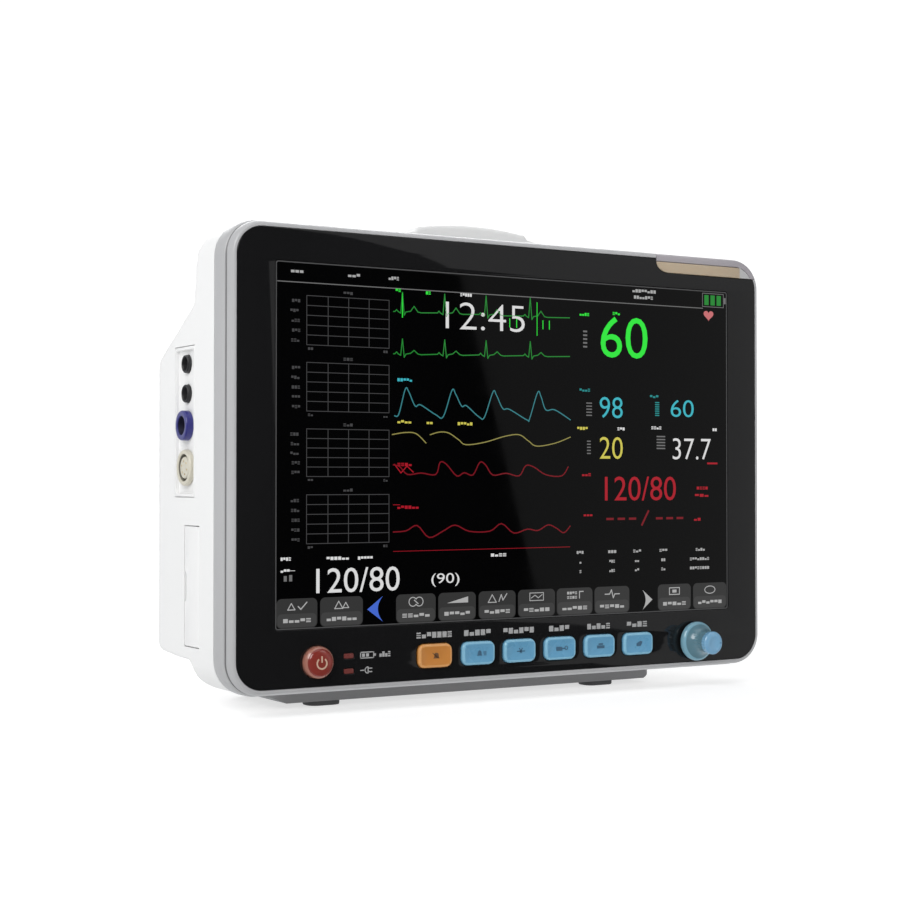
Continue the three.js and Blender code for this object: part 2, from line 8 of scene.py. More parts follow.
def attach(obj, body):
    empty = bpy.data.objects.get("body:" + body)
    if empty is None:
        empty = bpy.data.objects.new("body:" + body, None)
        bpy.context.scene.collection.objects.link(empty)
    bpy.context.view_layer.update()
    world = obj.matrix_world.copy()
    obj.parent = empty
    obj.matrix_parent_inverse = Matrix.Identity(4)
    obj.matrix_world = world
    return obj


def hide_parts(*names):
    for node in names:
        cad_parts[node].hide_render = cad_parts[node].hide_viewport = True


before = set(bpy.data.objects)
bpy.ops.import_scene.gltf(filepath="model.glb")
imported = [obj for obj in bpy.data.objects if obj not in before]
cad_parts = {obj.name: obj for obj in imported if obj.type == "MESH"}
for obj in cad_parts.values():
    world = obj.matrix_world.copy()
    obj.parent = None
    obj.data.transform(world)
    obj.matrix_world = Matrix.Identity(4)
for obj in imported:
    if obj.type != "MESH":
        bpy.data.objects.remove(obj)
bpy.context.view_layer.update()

# The design frame: millimetres from the black panel's lower left front corner, Y to the rear. W() takes it to the row frame.
PW, PH, PR = 314.0, 218.0, 13.5
YM, ZM = 39.0, 14.0
REAR = 96.0


def W(x, y, z):
    return ((x - PW / 2) / 1000, (y - YM) / 1000, (z + ZM) / 1000)


# ------------------------------------------------------------------ materials
def material(name):
    m = bpy.data.materials.new(name)
    m.use_nodes = True
    return m, m.node_tree, m.node_tree.nodes["Principled BSDF"]


def noise(nt, scale, detail=3.0, rough=0.5):
    tc = nt.nodes.new("ShaderNodeTexCoord")
    n = nt.nodes.new("ShaderNodeTexNoise")
    n.inputs["Scale"].default_value = scale
    n.inputs["Detail"].default_value = detail
    n.inputs["Roughness"].default_value = rough
    nt.links.new(tc.outputs["Object"], n.inputs["Vector"])
    return n


def ramp(nt, src, a, b, lo=0.35, hi=0.65):
    r = nt.nodes.new("ShaderNodeMapRange")
    r.inputs["From Min"].default_value = lo
    r.inputs["From Max"].default_value = hi
    r.inputs["To Min"].default_value = a
    r.inputs["To Max"].default_value = b
    nt.links.new(src, r.inputs["Value"])
    return r.outputs["Result"]


def tint(nt, fac, a, b):
    mix = nt.nodes.new("ShaderNodeMix")
    mix.data_type = "RGBA"
    mix.inputs[6].default_value = (*a, 1)
    mix.inputs[7].default_value = (*b, 1)
    nt.links.new(fac, mix.inputs[0])
    return mix.outputs[2]


def plastic(name, rgb, rough=0.45, grain=1500, depth=0.02, var=0.04, spec=0.5, coat=0.0, metal=0.0, sss=0.0, wear=0.0, spread=0.05):
    m, nt, b = material(name)
    n1 = noise(nt, 9, 4)
    dark = tuple(c * (1 - var) for c in rgb)
    light = tuple(min(1, c * (1 + var)) for c in rgb)
    col = tint(nt, ramp(nt, n1.outputs["Fac"], 0, 1), dark, light)
    if wear:
        geo = nt.nodes.new("ShaderNodeNewGeometry")
        w = ramp(nt, geo.outputs["Pointiness"], 0, wear, 0.51, 0.57)
        mix = nt.nodes.new("ShaderNodeMix")
        mix.data_type = "RGBA"
        nt.links.new(w, mix.inputs[0])
        nt.links.new(col, mix.inputs[6])
        mix.inputs[7].default_value = (*[min(1, c * 1.25 + 0.05) for c in rgb], 1)
        col = mix.outputs[2]
    nt.links.new(col, b.inputs["Base Color"])
    n2 = noise(nt, 70, 3)
    nt.links.new(ramp(nt, n2.outputs["Fac"], max(0.02, rough - spread), rough + spread), b.inputs["Roughness"])
    if depth:
        n3 = noise(nt, grain, 2)
        bump = nt.nodes.new("ShaderNodeBump")
        bump.inputs["Strength"].default_value = 0.35
        bump.inputs["Distance"].default_value = depth / 1000
        nt.links.new(n3.outputs["Fac"], bump.inputs["Height"])
        nt.links.new(bump.outputs["Normal"], b.inputs["Normal"])
    b.inputs["Specular IOR Level"].default_value = spec
    b.inputs["Coat Weight"].default_value = coat
    b.inputs["Coat Roughness"].default_value = 0.08
    b.inputs["Metallic"].default_value = metal
    if sss:
        b.inputs["Subsurface Weight"].default_value = sss
        b.inputs["Subsurface Radius"].default_value = (0.6, 0.8, 1.0)
        b.inputs["Subsurface Scale"].default_value = 0.002
    return m


def brushed(name, rgb, rough=0.32, stretch=(30, 1800, 30)):
    m, nt, b = material(name)
    tc = nt.nodes.new("ShaderNodeTexCoord")
    mp = nt.nodes.new("ShaderNodeMapping")
    mp.inputs["Scale"].default_value = stretch
    n = nt.nodes.new("ShaderNodeTexNoise")
    n.inputs["Scale"].default_value = 1.0
    n.inputs["Detail"].default_value = 4
    nt.links.new(tc.outputs["Object"], mp.inputs["Vector"])
    nt.links.new(mp.outputs["Vector"], n.inputs["Vector"])
    nt.links.new(tint(nt, n.outputs["Fac"], tuple(c * 0.86 for c in rgb), rgb), b.inputs["Base Color"])
    nt.links.new(ramp(nt, n.outputs["Fac"], rough - 0.08, rough + 0.1), b.inputs["Roughness"])
    bump = nt.nodes.new("ShaderNodeBump")
    bump.inputs["Strength"].default_value = 0.2
    bump.inputs["Distance"].default_value = 0.00001
    nt.links.new(n.outputs["Fac"], bump.inputs["Height"])
    nt.links.new(bump.outputs["Normal"], b.inputs["Normal"])
    b.inputs["Metallic"].default_value = 1.0
    return m


def board(name):
    m, nt, b = material(name)
    tc = nt.nodes.new("ShaderNodeTexCoord")
    v = nt.nodes.new("ShaderNodeTexVoronoi")
    v.feature = "F1"
    v.distance = "MANHATTAN"
    v.inputs["Scale"].default_value = 260
    nt.links.new(tc.outputs["Object"], v.inputs["Vector"])
    nt.links.new(tint(nt, ramp(nt, v.outputs["Distance"], 0, 1, 0.1, 0.5), (0.02, 0.16, 0.06), (0.05, 0.28, 0.12)), b.inputs["Base Color"])
    n = noise(nt, 500, 2)
    nt.links.new(ramp(nt, n.outputs["Fac"], 0.3, 0.5), b.inputs["Roughness"])
    return m


def glow(name, rgb, strength=1.0, rough=0.06, dark=(0.001, 0.001, 0.001)):
    """Lit part of the display: its own light under the same glossy surface."""
    m, nt, b = material(name)
    n = noise(nt, 1800, 1)
    nt.links.new(tint(nt, n.outputs["Fac"], tuple(c * 0.92 for c in rgb), rgb), b.inputs["Emission Color"])
    b.inputs["Base Color"].default_value = (*dark, 1)
    b.inputs["Emission Strength"].default_value = strength
    b.inputs["Roughness"].default_value = rough
    b.inputs["Specular IOR Level"].default_value = 0.3
    return m


def ink(name, rgb, rough=0.4):
    m, nt, b = material(name)
    n = noise(nt, 2600, 2)
    nt.links.new(tint(nt, n.outputs["Fac"], tuple(c * 0.85 for c in rgb), rgb), b.inputs["Base Color"])
    nt.links.new(ramp(nt, n.outputs["Fac"], rough - 0.05, rough + 0.05), b.inputs["Roughness"])
    return m


white = plastic("case_white", (0.755, 0.755, 0.75), 0.48, 1500, 0.03, 0.012, spec=0.35)
# darker copy of the frame grey for the groove faces: painted shade standing in for the groove's occlusion
groove_painted_shade = plastic("frame_groove_painted_shade", (0.17, 0.17, 0.173), 0.45, 1900, 0.02, 0.03)
grey = plastic("frame_grey", (0.385, 0.385, 0.39), 0.36, 1900, 0.02, 0.03)
base_grey = plastic("base_grey", (0.22, 0.22, 0.225), 0.5, 1300, 0.03, 0.05)
rubber = plastic("rubber_dark", (0.075, 0.075, 0.078), 0.8, 900, 0.06, 0.12)
black_pl = plastic("dark_plastic", (0.018, 0.018, 0.02), 0.4, 1600, 0.03, 0.1)
key_blue = plastic("key_blue", (0.105, 0.295, 0.46), 0.3, 1700, 0.015, 0.06, coat=0.25, sss=0.15)
key_orange = plastic("key_orange", (0.50, 0.195, 0.034), 0.3, 1700, 0.015, 0.06, coat=0.25, sss=0.15)
# lighter copies of the key colours for the rounded front edges of the keycaps: painted highlight
key_blue_rim_painted_highlight = plastic("key_blue_rim_painted_highlight", (0.20, 0.42, 0.56), 0.3, 1700, 0.015, 0.06, coat=0.25, sss=0.15)
key_orange_rim_painted_highlight = plastic("key_orange_rim_painted_highlight", (0.62, 0.30, 0.10), 0.3, 1700, 0.015, 0.06, coat=0.25, sss=0.15)
power_red = plastic("power_red", (0.22, 0.030, 0.022), 0.2, 1600, 0.01, 0.08, coat=0.6, sss=0.2)
# paler copy of the button's red for its dome rim and side wall: painted highlight
power_side_painted_highlight = plastic("power_side_painted_highlight", (0.36, 0.155, 0.115), 0.25, 1600, 0.01, 0.06, coat=0.4, sss=0.3)
# lighter copy of the knob's blue for its flange rim: painted highlight
knob_rim_painted_highlight = plastic("knob_rim_painted_highlight", (0.17, 0.33, 0.41), 0.2, 1400, 0.01, 0.08, coat=0.5, sss=0.3)
knob_blue = plastic("knob_blue", (0.095, 0.19, 0.235), 0.22, 1400, 0.01, 0.10, coat=0.5, sss=0.35)
# darker copy of the knob's blue for the pointer dimple: painted shade
knob_pointer_painted_shade = plastic("knob_dimple_painted_shade", (0.07, 0.17, 0.30), 0.3, 1400, 0.01, 0.08)
# lighter copy of the knob's blue for its face: painted highlight
knob_face_painted_highlight = plastic("knob_face_blue_painted_highlight", (0.165, 0.34, 0.50), 0.25, 1400, 0.01, 0.08, coat=0.5, sss=0.3)
lens_mat = plastic("lens_amber", (0.41, 0.33, 0.235), 0.22, 900, 0.02, 0.10, coat=0.5, sss=0.4)
lens_end = plastic("lens_end", (0.42, 0.42, 0.42), 0.25, 900, 0.02, 0.06, coat=0.5)
cap_mat = plastic("cap_grey", (0.31, 0.29, 0.31), 0.34, 1800, 0.02, 0.04)
led_mat = plastic("led_red", (0.16, 0.035, 0.03), 0.3, 1500, 0.01, 0.1, coat=0.3)
navy = plastic("socket_navy", (0.022, 0.022, 0.17), 0.3, 1500, 0.02, 0.12, coat=0.3)
# near-black copy of the socket navy for the inside of the pulse socket's bore: painted shade
bore_painted_shade = plastic("socket_bore_painted_shade", (0.008, 0.008, 0.03), 0.5, 1500, 0.02, 0.1)
# darker copy of the socket ivory for the ring gap around the ECG socket's core: painted shade
gap_painted_shade = plastic("socket_gap_painted_shade", (0.16, 0.15, 0.12), 0.5, 1500, 0.02, 0.05)
ivory = plastic("socket_ivory", (0.56, 0.53, 0.44), 0.38, 1500, 0.02, 0.05)
paper = plastic("paper", (0.85, 0.84, 0.80), 0.8, 700, 0.05, 0.02)
battery_mat = plastic("battery_sleeve", (0.03, 0.05, 0.22), 0.35, 1200, 0.02, 0.1)
silicone = plastic("silicone", (0.16, 0.17, 0.18), 0.65, 1000, 0.03, 0.06)
steel = brushed("steel", (0.62, 0.63, 0.65), 0.28)
zinc = brushed("bracket_zinc", (0.50, 0.51, 0.53), 0.38, (1200, 30, 60))
brass = brushed("brass", (0.72, 0.53, 0.24), 0.3)
pcb = board("circuit_board")
copper = plastic("power_parts", (0.10, 0.16, 0.11), 0.5, 900, 0.05, 0.2)

# gloss black panel: faint smears in the shine, barely any diffuse light
panel_mat = plastic("panel_black", (0.0072, 0.0072, 0.0076), 0.05, 900, 0.0, 0.08, spec=0.5, spread=0.02)
glass_mat = plastic("screen_glass", (0.0009, 0.0009, 0.0010), 0.06, 900, 0.0, 0.08, spec=0.20, spread=0.02)


# ------------------------------------------------------------------ mesh helpers
def link(name, me):
    o = bpy.data.objects.new(name, me)
    bpy.context.scene.collection.objects.link(o)
    return o


def raw(name, verts, faces, mats=(), ids=None):
    me = bpy.data.meshes.new(name)
    me.from_pydata([W(*v) for v in verts], [], faces)
    if ids:
        me.polygons.foreach_set("material_index", ids)
    bm = bmesh.new()
    bm.from_mesh(me)
    bmesh.ops.remove_doubles(bm, verts=bm.verts, dist=1e-7)
    bmesh.ops.recalc_face_normals(bm, faces=bm.faces)
    bm.to_mesh(me)
    bm.free()
    for m in mats:
        me.materials.append(m)
    return link(name, me)


def applied(o):
    bpy.context.view_layer.update()
    dg = bpy.context.evaluated_depsgraph_get()
    me = bpy.data.meshes.new_from_object(o.evaluated_get(dg), preserve_all_data_layers=True, depsgraph=dg)
    old = o.data
    o.modifiers.clear()
    o.data = me
    me.name = old.name
    if old.users == 0:
        bpy.data.meshes.remove(old)
    return o


def boolean(o, other, op="DIFFERENCE", solver="MANIFOLD"):
    m = o.modifiers.new("bool", "BOOLEAN")
    m.object = other
    m.operation = op
    m.solver = solver
    applied(o)
    bpy.data.objects.remove(other)
    return o


def bevel(o, width, seg=3, angle=32):
    m = o.modifiers.new("bevel", "BEVEL")
    m.width = width / 1000
    m.segments = seg
    m.limit_method = "ANGLE"
    m.angle_limit = math.radians(angle)
    m.miter_outer = "MITER_ARC"
    return applied(o)


def done(o, mat=None, body="root", rep=(), smooth=35):
    if mat is not None:
        o.data.materials.clear()
        o.data.materials.append(mat)
    for p in o.data.polygons:
        p.use_smooth = True
    o.data.set_sharp_from_angle(angle=math.radians(smooth))
    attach(o, body)
    if rep:
        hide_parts(*([rep] if isinstance(rep, str) else rep))
    return o


def rr(x0, x1, y0, y1, r, n=12):
    p = []
    for cx, cy, a in ((x1 - r, y0 + r, -90), (x1 - r, y1 - r, 0), (x0 + r, y1 - r, 90), (x0 + r, y0 + r, 180)):
        for i in range(n + 1):
            t = math.radians(a + 90 * i / n)
            p.append((cx + r * math.cos(t), cy + r * math.sin(t)))
    return p


def prism(name, loop, a, b, axis="Y"):
    put = {"Y": lambda u, v, w: (u, w, v), "Z": lambda u, v, w: (u, v, w), "X": lambda u, v, w: (w, u, v)}[axis]
    n = len(loop)
    verts = [put(u, v, a) for u, v in loop] + [put(u, v, b) for u, v in loop]
    faces = [list(range(n))[::-1], list(range(n, 2 * n))] + [(i, (i + 1) % n, n + (i + 1) % n, n + i) for i in range(n)]
    return raw(name, verts, faces)


def block(name, x0, x1, y0, y1, z0, z1):
    return prism(name, [(x0, y0), (x1, y0), (x1, y1), (x0, y1)], z0, z1, "Z")


def loft(name, rings, closed=False, caps=True):
    n = len(rings[0])
    verts = [v for r in rings for v in r]
    faces = []
    last = len(rings) if closed else len(rings) - 1
    for i in range(last):
        j = (i + 1) % len(rings)
        for k in range(n):
            faces.append((i * n + k, i * n + (k + 1) % n, j * n + (k + 1) % n, j * n + k))
    if not closed and caps:
        faces += [list(range(n))[::-1], [(len(rings) - 1) * n + k for k in range(n)]]
    return raw(name, verts, faces)


def ringed(name, profile, n=20):
    """A closed section of (depth, outward offset) swept round the panel's outline."""
    return loft(name, [[(x, y, z) for x, z in rr(-o, PW + o, -o, PH + o, PR + o, n)] for y, o in profile], closed=True)


def lathe(name, prof, u, v, axis="Y", n=64, ribs=0, rib_depth=0.0, rib_from=None):
    """Profile of (radius, place along the axis), starting and ending on the axis."""
    put = {"Y": lambda a, b, w: (u + a, w, v + b), "X": lambda a, b, w: (w, u + a, v + b), "Z": lambda a, b, w: (u + a, v + b, w)}[axis]
    verts, faces, rows = [], [], []
    for i, (r, w) in enumerate(prof):
        if r < 1e-6:
            rows.append([len(verts)])
            verts.append(put(0, 0, w))
        else:
            row = []
            for k in range(n):
                t = 2 * math.pi * k / n
                q = r
                if ribs and rib_from and rib_from[0] <= i <= rib_from[1]:
                    q = r - rib_depth * (0.5 - 0.5 * math.cos(ribs * t)) ** 0.7
                row.append(len(verts))
                verts.append(put(q * math.cos(t), q * math.sin(t), w))
            rows.append(row)
    for a, b in zip(rows, rows[1:]):
        for k in range(n):
            k2 = (k + 1) % n
            if len(a) == 1 and len(b) == 1:
                continue
            if len(a) == 1:
                faces.append((a[0], b[k2], b[k]))
            elif len(b) == 1:
                faces.append((a[k], a[k2], b[0]))
            else:
                faces.append((a[k], a[k2], b[k2], b[k]))
    return raw(name, verts, faces)


def plate(name, loops, y0, y1, edge=0.25, res=2):
    """A flat sheet with holes and softly broken edges, drawn in X,Z."""
    cu = bpy.data.curves.new(name, "CURVE")
    cu.dimensions = "2D"
    cu.fill_mode = "BOTH"
    cu.extrude = ((y1 - y0) / 2 - edge) / 1000
    cu.bevel_depth = edge / 1000
    cu.bevel_resolution = res
    cu.offset = -edge / 1000
    for lp in loops:
        s = cu.splines.new("POLY")
        s.points.add(len(lp) - 1)
        for i, (x, z) in enumerate(lp):
            s.points[i].co = ((x - PW / 2) / 1000, (z + ZM) / 1000, 0, 1)
        s.use_cyclic_u = True
    tmp = link(name + "_c", cu)
    bpy.context.view_layer.update()
    dg = bpy.context.evaluated_depsgraph_get()
    me = bpy.data.meshes.new_from_object(tmp.evaluated_get(dg))
    bpy.data.objects.remove(tmp)
    me.transform(Matrix.Translation((0, ((y0 + y1) / 2 - YM) / 1000, 0)) @ Matrix.Rotation(math.pi / 2, 4, "X"))
    bm = bmesh.new()
    bm.from_mesh(me)
    bmesh.ops.remove_doubles(bm, verts=bm.verts, dist=1e-6)
    bmesh.ops.recalc_face_normals(bm, faces=bm.faces)
    bm.to_mesh(me)
    bm.free()
    return link(name, me)


def circle(x, z, r, n=48):
    return [(x + r * math.cos(2 * math.pi * i / n), z + r * math.sin(2 * math.pi * i / n)) for i in range(n)]


# ------------------------------------------------------------------ front frame, panel, lamp
GAP = 0.3
LX0, LZ0 = 245.4, 210.6
band1 = [(4.9 * (1 - math.cos(math.radians(t))), 0.95 + 2.05 * math.sin(math.radians(t))) for t in range(0, 91, 9)]
groove = [(5.1, 2.95), (5.35, 2.65), (5.6, 2.38), (5.85, 2.25), (6.2, 2.2), (6.5, 2.3), (6.75, 2.6), (6.95, 2.95)]
band2 = [(7.2, 3.25), (7.7, 3.55), (8.4, 3.78), (9.3, 3.93), (10.6, 4.0), (15.8, 4.0), (17.0, 3.95), (17.7, 3.82), (18.1, 3.6), (18.3, 3.3)]
back = [(18.3, 2.0), (8.2, 1.9), (8.0, -1.3), (3.35, -1.3), (3.3, 0.2), (0.25, 0.2), (0.05, 0.3), (0.0, 0.5)]
fr = ringed("front_frame_fine", band1 + groove + band2 + back, 24)
boolean(fr, block("c", LX0 - GAP, 330, -5, 11.1, LZ0 - GAP, 230))
done(fr, grey, rep="front_frame")
# groove faces take the darker copy: painted shade in the groove
fr.data.materials.append(groove_painted_shade)
for p in fr.data.polygons:
    u, v, d = p.center.x * 1000 + PW / 2, p.center.z * 1000 - ZM, p.center.y * 1000 + YM
    if 5.0 < d < 7.0:
        out = max(-u, u - PW, -v, v - PH)
        if out > 1.0 or (u < PR or u > PW - PR) and (v < PR or v > PH - PR):
            p.material_index = 1

WIN = (19.5, 294.3, 27.5, 202.6)
KEYX = [106.5, 131.7, 156.5, 181.5, 206.6, 231.7]
KEYZ = 11.6
NAMES = ["silence", "pause", "freeze", "nibp", "print", "menu"]
full = rr(0, PW, 0, PH, PR, 20)
cx, cz = PW - PR, PH - PR
arc = [(cx + PR * math.cos(math.radians(t)), cz + PR * math.sin(math.radians(t))) for t in range(0, 91, 4)]
outer = full[:21] + [p for p in arc if p[1] < LZ0 - GAP - 0.2]
zt = LZ0 - GAP
outer.append((cx + math.sqrt(PR * PR - (zt - cz) ** 2), zt))
outer += [(LX0 - GAP + 9.2, zt)]
outer += [(LX0 - GAP + 9.2 - 9.2 * math.sin(math.radians(t)), zt + 6.2 - 6.2 * math.cos(math.radians(t))) for t in range(9, 91, 9)]
outer += [(LX0 - GAP, PH)]
outer += full[42:]
loops = [outer, rr(WIN[0], WIN[1], WIN[2], WIN[3], 1.6, 6)[::-1]]
for x in KEYX:
    loops.append(rr(x - 9.95, x + 9.95, KEYZ - 6.25, KEYZ + 6.25, 3.8, 10)[::-1])
loops.append(circle(41.9, 11.7, 8.1, 64)[::-1])
loops.append(circle(270, 11.3, 4.4, 32)[::-1])
for z in (13.8, 6.5):
    loops.append(rr(56.0, 61.8, z - 1.5, z + 1.5, 0.7, 4)[::-1])
pn = plate("front_panel_fine", loops, 0.0, 3.0, 0.22, 3)
done(pn, panel_mat, rep="front_panel")

# cover glass with the faint line of its edge, drawn as a faintly glowing ring: painted highlight of the glass edge
gl = plate("screen_glass_fine", [rr(WIN[0] + 0.25, WIN[1] - 0.25, WIN[2] + 0.25, WIN[3] - 0.25, 1.4, 6)], 0.12, 2.6, 0.12, 2)
done(gl, glass_mat, rep="screen_glass")
# faintly glowing ring just inside the window: painted highlight along the glass edge, not display light
glass_edge_painted_highlight = glow("screen_edge_painted_highlight", (0.019, 0.019, 0.020), 1.0, 0.2, (0.05, 0.05, 0.05))
eg = plate("screen_edge_line_painted_highlight", [rr(WIN[0] + 0.3, WIN[1] - 0.3, WIN[2] + 0.3, WIN[3] - 0.3, 1.3, 6), rr(WIN[0] + 0.85, WIN[1] - 0.85, WIN[2] + 0.85, WIN[3] - 0.85, 0.9, 6)[::-1]], 0.05, 0.15, 0.01, 0)
done(eg, glass_edge_painted_highlight)

capprof = [(0.0, -1.25), (0.0, 0.85)] + [(y, o) for y, o in band1 if o > 1.2] + [(5.6, 3.0), (7.2, 3.3), (8.6, 3.6), (9.2, 3.5), (9.4, 3.2), (9.4, -1.3), (0.3, -1.4)]
cp = ringed("alarm_cap_fine", capprof, 24)
boolean(cp, block("c", LX0, 330, -2, 12, LZ0, 230), "INTERSECT")
bevel(cp, 0.25, 2, 50)
done(cp, cap_mat, rep="alarm_cap")
ra = PR - 1.6
lens = [(LX0 + 8.6 - 8.6 * math.cos(math.radians(t)), LZ0 + 5.6 - 5.6 * math.sin(math.radians(t))) for t in range(0, 91, 9)]
lens += [(cx + math.sqrt(ra * ra - (LZ0 - cz) ** 2), LZ0)]
lens += [(cx + ra * math.cos(math.radians(t)), cz + ra * math.sin(math.radians(t))) for t in range(36, 91, 6)]
lens += [(LX0, cz + ra)]
ln = plate("alarm_lens_fine", [lens], 0.0, 9.6, 0.5, 3)
done(ln, lens_mat, rep="alarm_lens")
# clear end piece of the lens
le = plate("alarm_lens_end", [[p for p in lens if p[0] > 303] + [(303.2, cz + ra), (303.2, LZ0)]], -0.06, 0.6, 0.2, 2)
done(le, lens_end)

# ------------------------------------------------------------------ keys
def key(name, x, z, mat, body):
    w, h = 19.2, 11.8

    def ring(o, y, r):
        return [(px, y, pz) for px, pz in rr(x - w / 2 + o, x + w / 2 - o, z - h / 2 + o, z + h / 2 - o, r, 8)]

    rows = [(0.0, 3.2, 3.5), (0.0, -0.5, 3.5), (0.06, -1.0, 3.45), (0.22, -1.4, 3.3), (0.5, -1.68, 3.0), (0.9, -1.8, 2.7), (1.3, -1.8, 2.4), (1.8, -1.7, 2.1), (2.5, -1.52, 1.7), (3.4, -1.34, 1.2), (4.4, -1.22, 0.8), (5.1, -1.17, 0.4), (5.6, -1.15, 0.1)]
    o = loft(name + "_cap", [ring(a, b, c) for a, b, c in rows])
    back_part = block("b", x - 10.8, x + 10.8, 3.3, 4.5, z - 7.1, z + 7.1)
    boolean(back_part, block("b2", x - 3, x + 3, 4.4, 6.2, z - 3, z + 3), "UNION")
    bevel(back_part, 0.25, 2)
    boolean(o, block("b3", x - 8.5, x + 8.5, 3.1, 3.6, z - 5.0, z + 5.0), "UNION")
    boolean(o, back_part, "UNION")
    done(o, mat, body, rep=name)
    o.data.materials.append(key_orange_rim_painted_highlight if mat is key_orange else key_blue_rim_painted_highlight)
    # the cap's rounded front edge takes the lighter copy: painted highlight
    for p in o.data.polygons:
        u, v, d = p.center.x * 1000 + PW / 2, p.center.z * 1000 - ZM, p.center.y * 1000 + YM
        rim = max(abs(u - x) - w / 2, abs(v - z) - h / 2)
        p.material_index = 1 if d < -0.4 and rim > -1.5 else 0
    return o


for i, (nm, x) in enumerate(zip(NAMES, KEYX)):
    key("key_" + nm, x, KEYZ, key_blue if i else key_orange, "key_" + nm)


# ------------------------------------------------------------------ flat printed and lit shapes
class Flat:
    """Collects flat shapes in X,Z and makes one thin piece of them."""

    def __init__(self):
        self.v, self.f = [], []

    def poly(self, pts):
        k = len(self.v)
        self.v += [tuple(p) for p in pts]
        self.f.append(list(range(k, k + len(pts))))

    def rect(self, x0, z0, x1, z1):
        self.poly([(x0, z0), (x1, z0), (x1, z1), (x0, z1)])

    def line(self, pts, w=0.5):
        for (x0, z0), (x1, z1) in zip(pts, pts[1:]):
            d = math.hypot(x1 - x0, z1 - z0) or 1e-6
            ux, uz = (x1 - x0) / d, (z1 - z0) / d
            nx, nz = -uz * w / 2, ux * w / 2
            ex, ez = ux * w * 0.35, uz * w * 0.35
            self.poly([(x0 - ex + nx, z0 - ez + nz), (x0 - ex - nx, z0 - ez - nz), (x1 + ex - nx, z1 + ez - nz), (x1 + ex + nx, z1 + ez + nz)])

    def ring(self, x, z, r, w, a0=0, a1=360, n=32):
        pts = [(math.radians(a0 + (a1 - a0) * i / n)) for i in range(n + 1)]
        for s, t in zip(pts, pts[1:]):
            self.poly([(x + (r - w / 2) * math.cos(q), z + (r - w / 2) * math.sin(q)) for q in (s, t)] + [(x + (r + w / 2) * math.cos(q), z + (r + w / 2) * math.sin(q)) for q in (t, s)])

    def marks(self, x, z, w, h, n, rnd):
        """A row of small blocks where a word would be."""
        c = w / n
        for i in range(n):
            a = x + i * c + c * 0.10
            b = x + (i + 1) * c - c * 0.10
            t = 0.26 * h
            kind = rnd.randrange(4)
            if kind == 0:
                self.rect(a, z, b, z + h)
            elif kind == 1:
                self.rect(a, z, b, z + h * 0.62)
            elif kind == 2:
                self.rect(a, z, b, z + t)
                self.rect(a, z + h - t, b, z + h)
                self.rect(a, z + h / 2 - t / 3, b, z + h / 2 + t / 3)
            else:
                self.rect(a, z + h * 0.3, b, z + h)

    def text(self, s, x0, z0, x1, z1, thick=0.0):
        cu = bpy.data.curves.new("t", "FONT")
        cu.body = s
        cu.size = 1.0
        cu.resolution_u = 4
        cu.offset = thick
        tmp = link("t", cu)
        bpy.context.view_layer.update()
        dg = bpy.context.evaluated_depsgraph_get()
        me = bpy.data.meshes.new_from_object(tmp.evaluated_get(dg))
        bpy.data.objects.remove(tmp)
        xs = [v.co.x for v in me.vertices]
        ys = [v.co.y for v in me.vertices]
        ax, bx_, ay, by = min(xs), max(xs), min(ys), max(ys)
        for p in me.polygons:
            self.poly([(x0 + (me.vertices[i].co.x - ax) / (bx_ - ax) * (x1 - x0), z0 + (me.vertices[i].co.y - ay) / (by - ay) * (z1 - z0)) for i in p.vertices])
        bpy.data.meshes.remove(me)

    def make(self, name, mat, y, body="root", slot=None, thick=0.03):
        me = bpy.data.meshes.new(name)
        me.from_pydata([W(x, y, z) for x, z in self.v], [], self.f)
        bm = bmesh.new()
        bm.from_mesh(me)
        for f in bm.faces:
            if f.normal.y > 0:
                f.normal_flip()
        faces = list(bm.faces)
        r = bmesh.ops.extrude_face_region(bm, geom=faces)
        vs = [g for g in r["geom"] if isinstance(g, bmesh.types.BMVert)]
        bmesh.ops.translate(bm, verts=vs, vec=(0, -thick / 1000, 0))
        bmesh.ops.delete(bm, geom=[f for f in faces if f.is_valid], context="FACES_ONLY")
        bmesh.ops.remove_doubles(bm, verts=[], dist=0)
        bm.to_mesh(me)
        bm.free()
        o = link(name, me)
        me.materials.append(mat)
        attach(o, body)
        return o


white_ink = ink("print_white", (0.36, 0.36, 0.36))
dark_ink_o = ink("print_brown", (0.16, 0.075, 0.03))
dark_ink_b = ink("print_slate", (0.045, 0.12, 0.20))
rnd = random.Random(7)
lab = Flat()
for (nm, x), n, hw in zip(zip(NAMES, KEYX), (7, 5, 6, 4, 5, 4), (10.4, 8.2, 9.6, 6.6, 7.6, 7.0)):
    lab.marks(x - hw, 20.4, 2 * hw, 2.9, n, rnd)
# battery and mains symbols beside the indicators
lab.line([(65.2, 12.4), (65.2, 15.2), (72.4, 15.2), (72.4, 12.4), (65.2, 12.4)], 0.5)
lab.rect(72.7, 13.2, 73.6, 14.4)
lab.rect(66.0, 13.0, 67.6, 14.6)
lab.rect(68.2, 13.0, 69.8, 14.6)
lab.marks(75.4, 12.5, 6.4, 2.6, 4, rnd)
lab.line([(65.2, 6.5), (67.6, 6.5)], 0.5)
lab.ring(69.2, 6.5, 1.5, 0.5, 90, 270, 12)
lab.rect(69.1, 4.8, 69.6, 8.2)
lab.rect(69.6, 7.1, 71.6, 7.6)
lab.rect(69.6, 5.4, 71.6, 5.9)
lab.make("front_panel_print", white_ink, 0.0, slot="panel_black", thick=0.03)

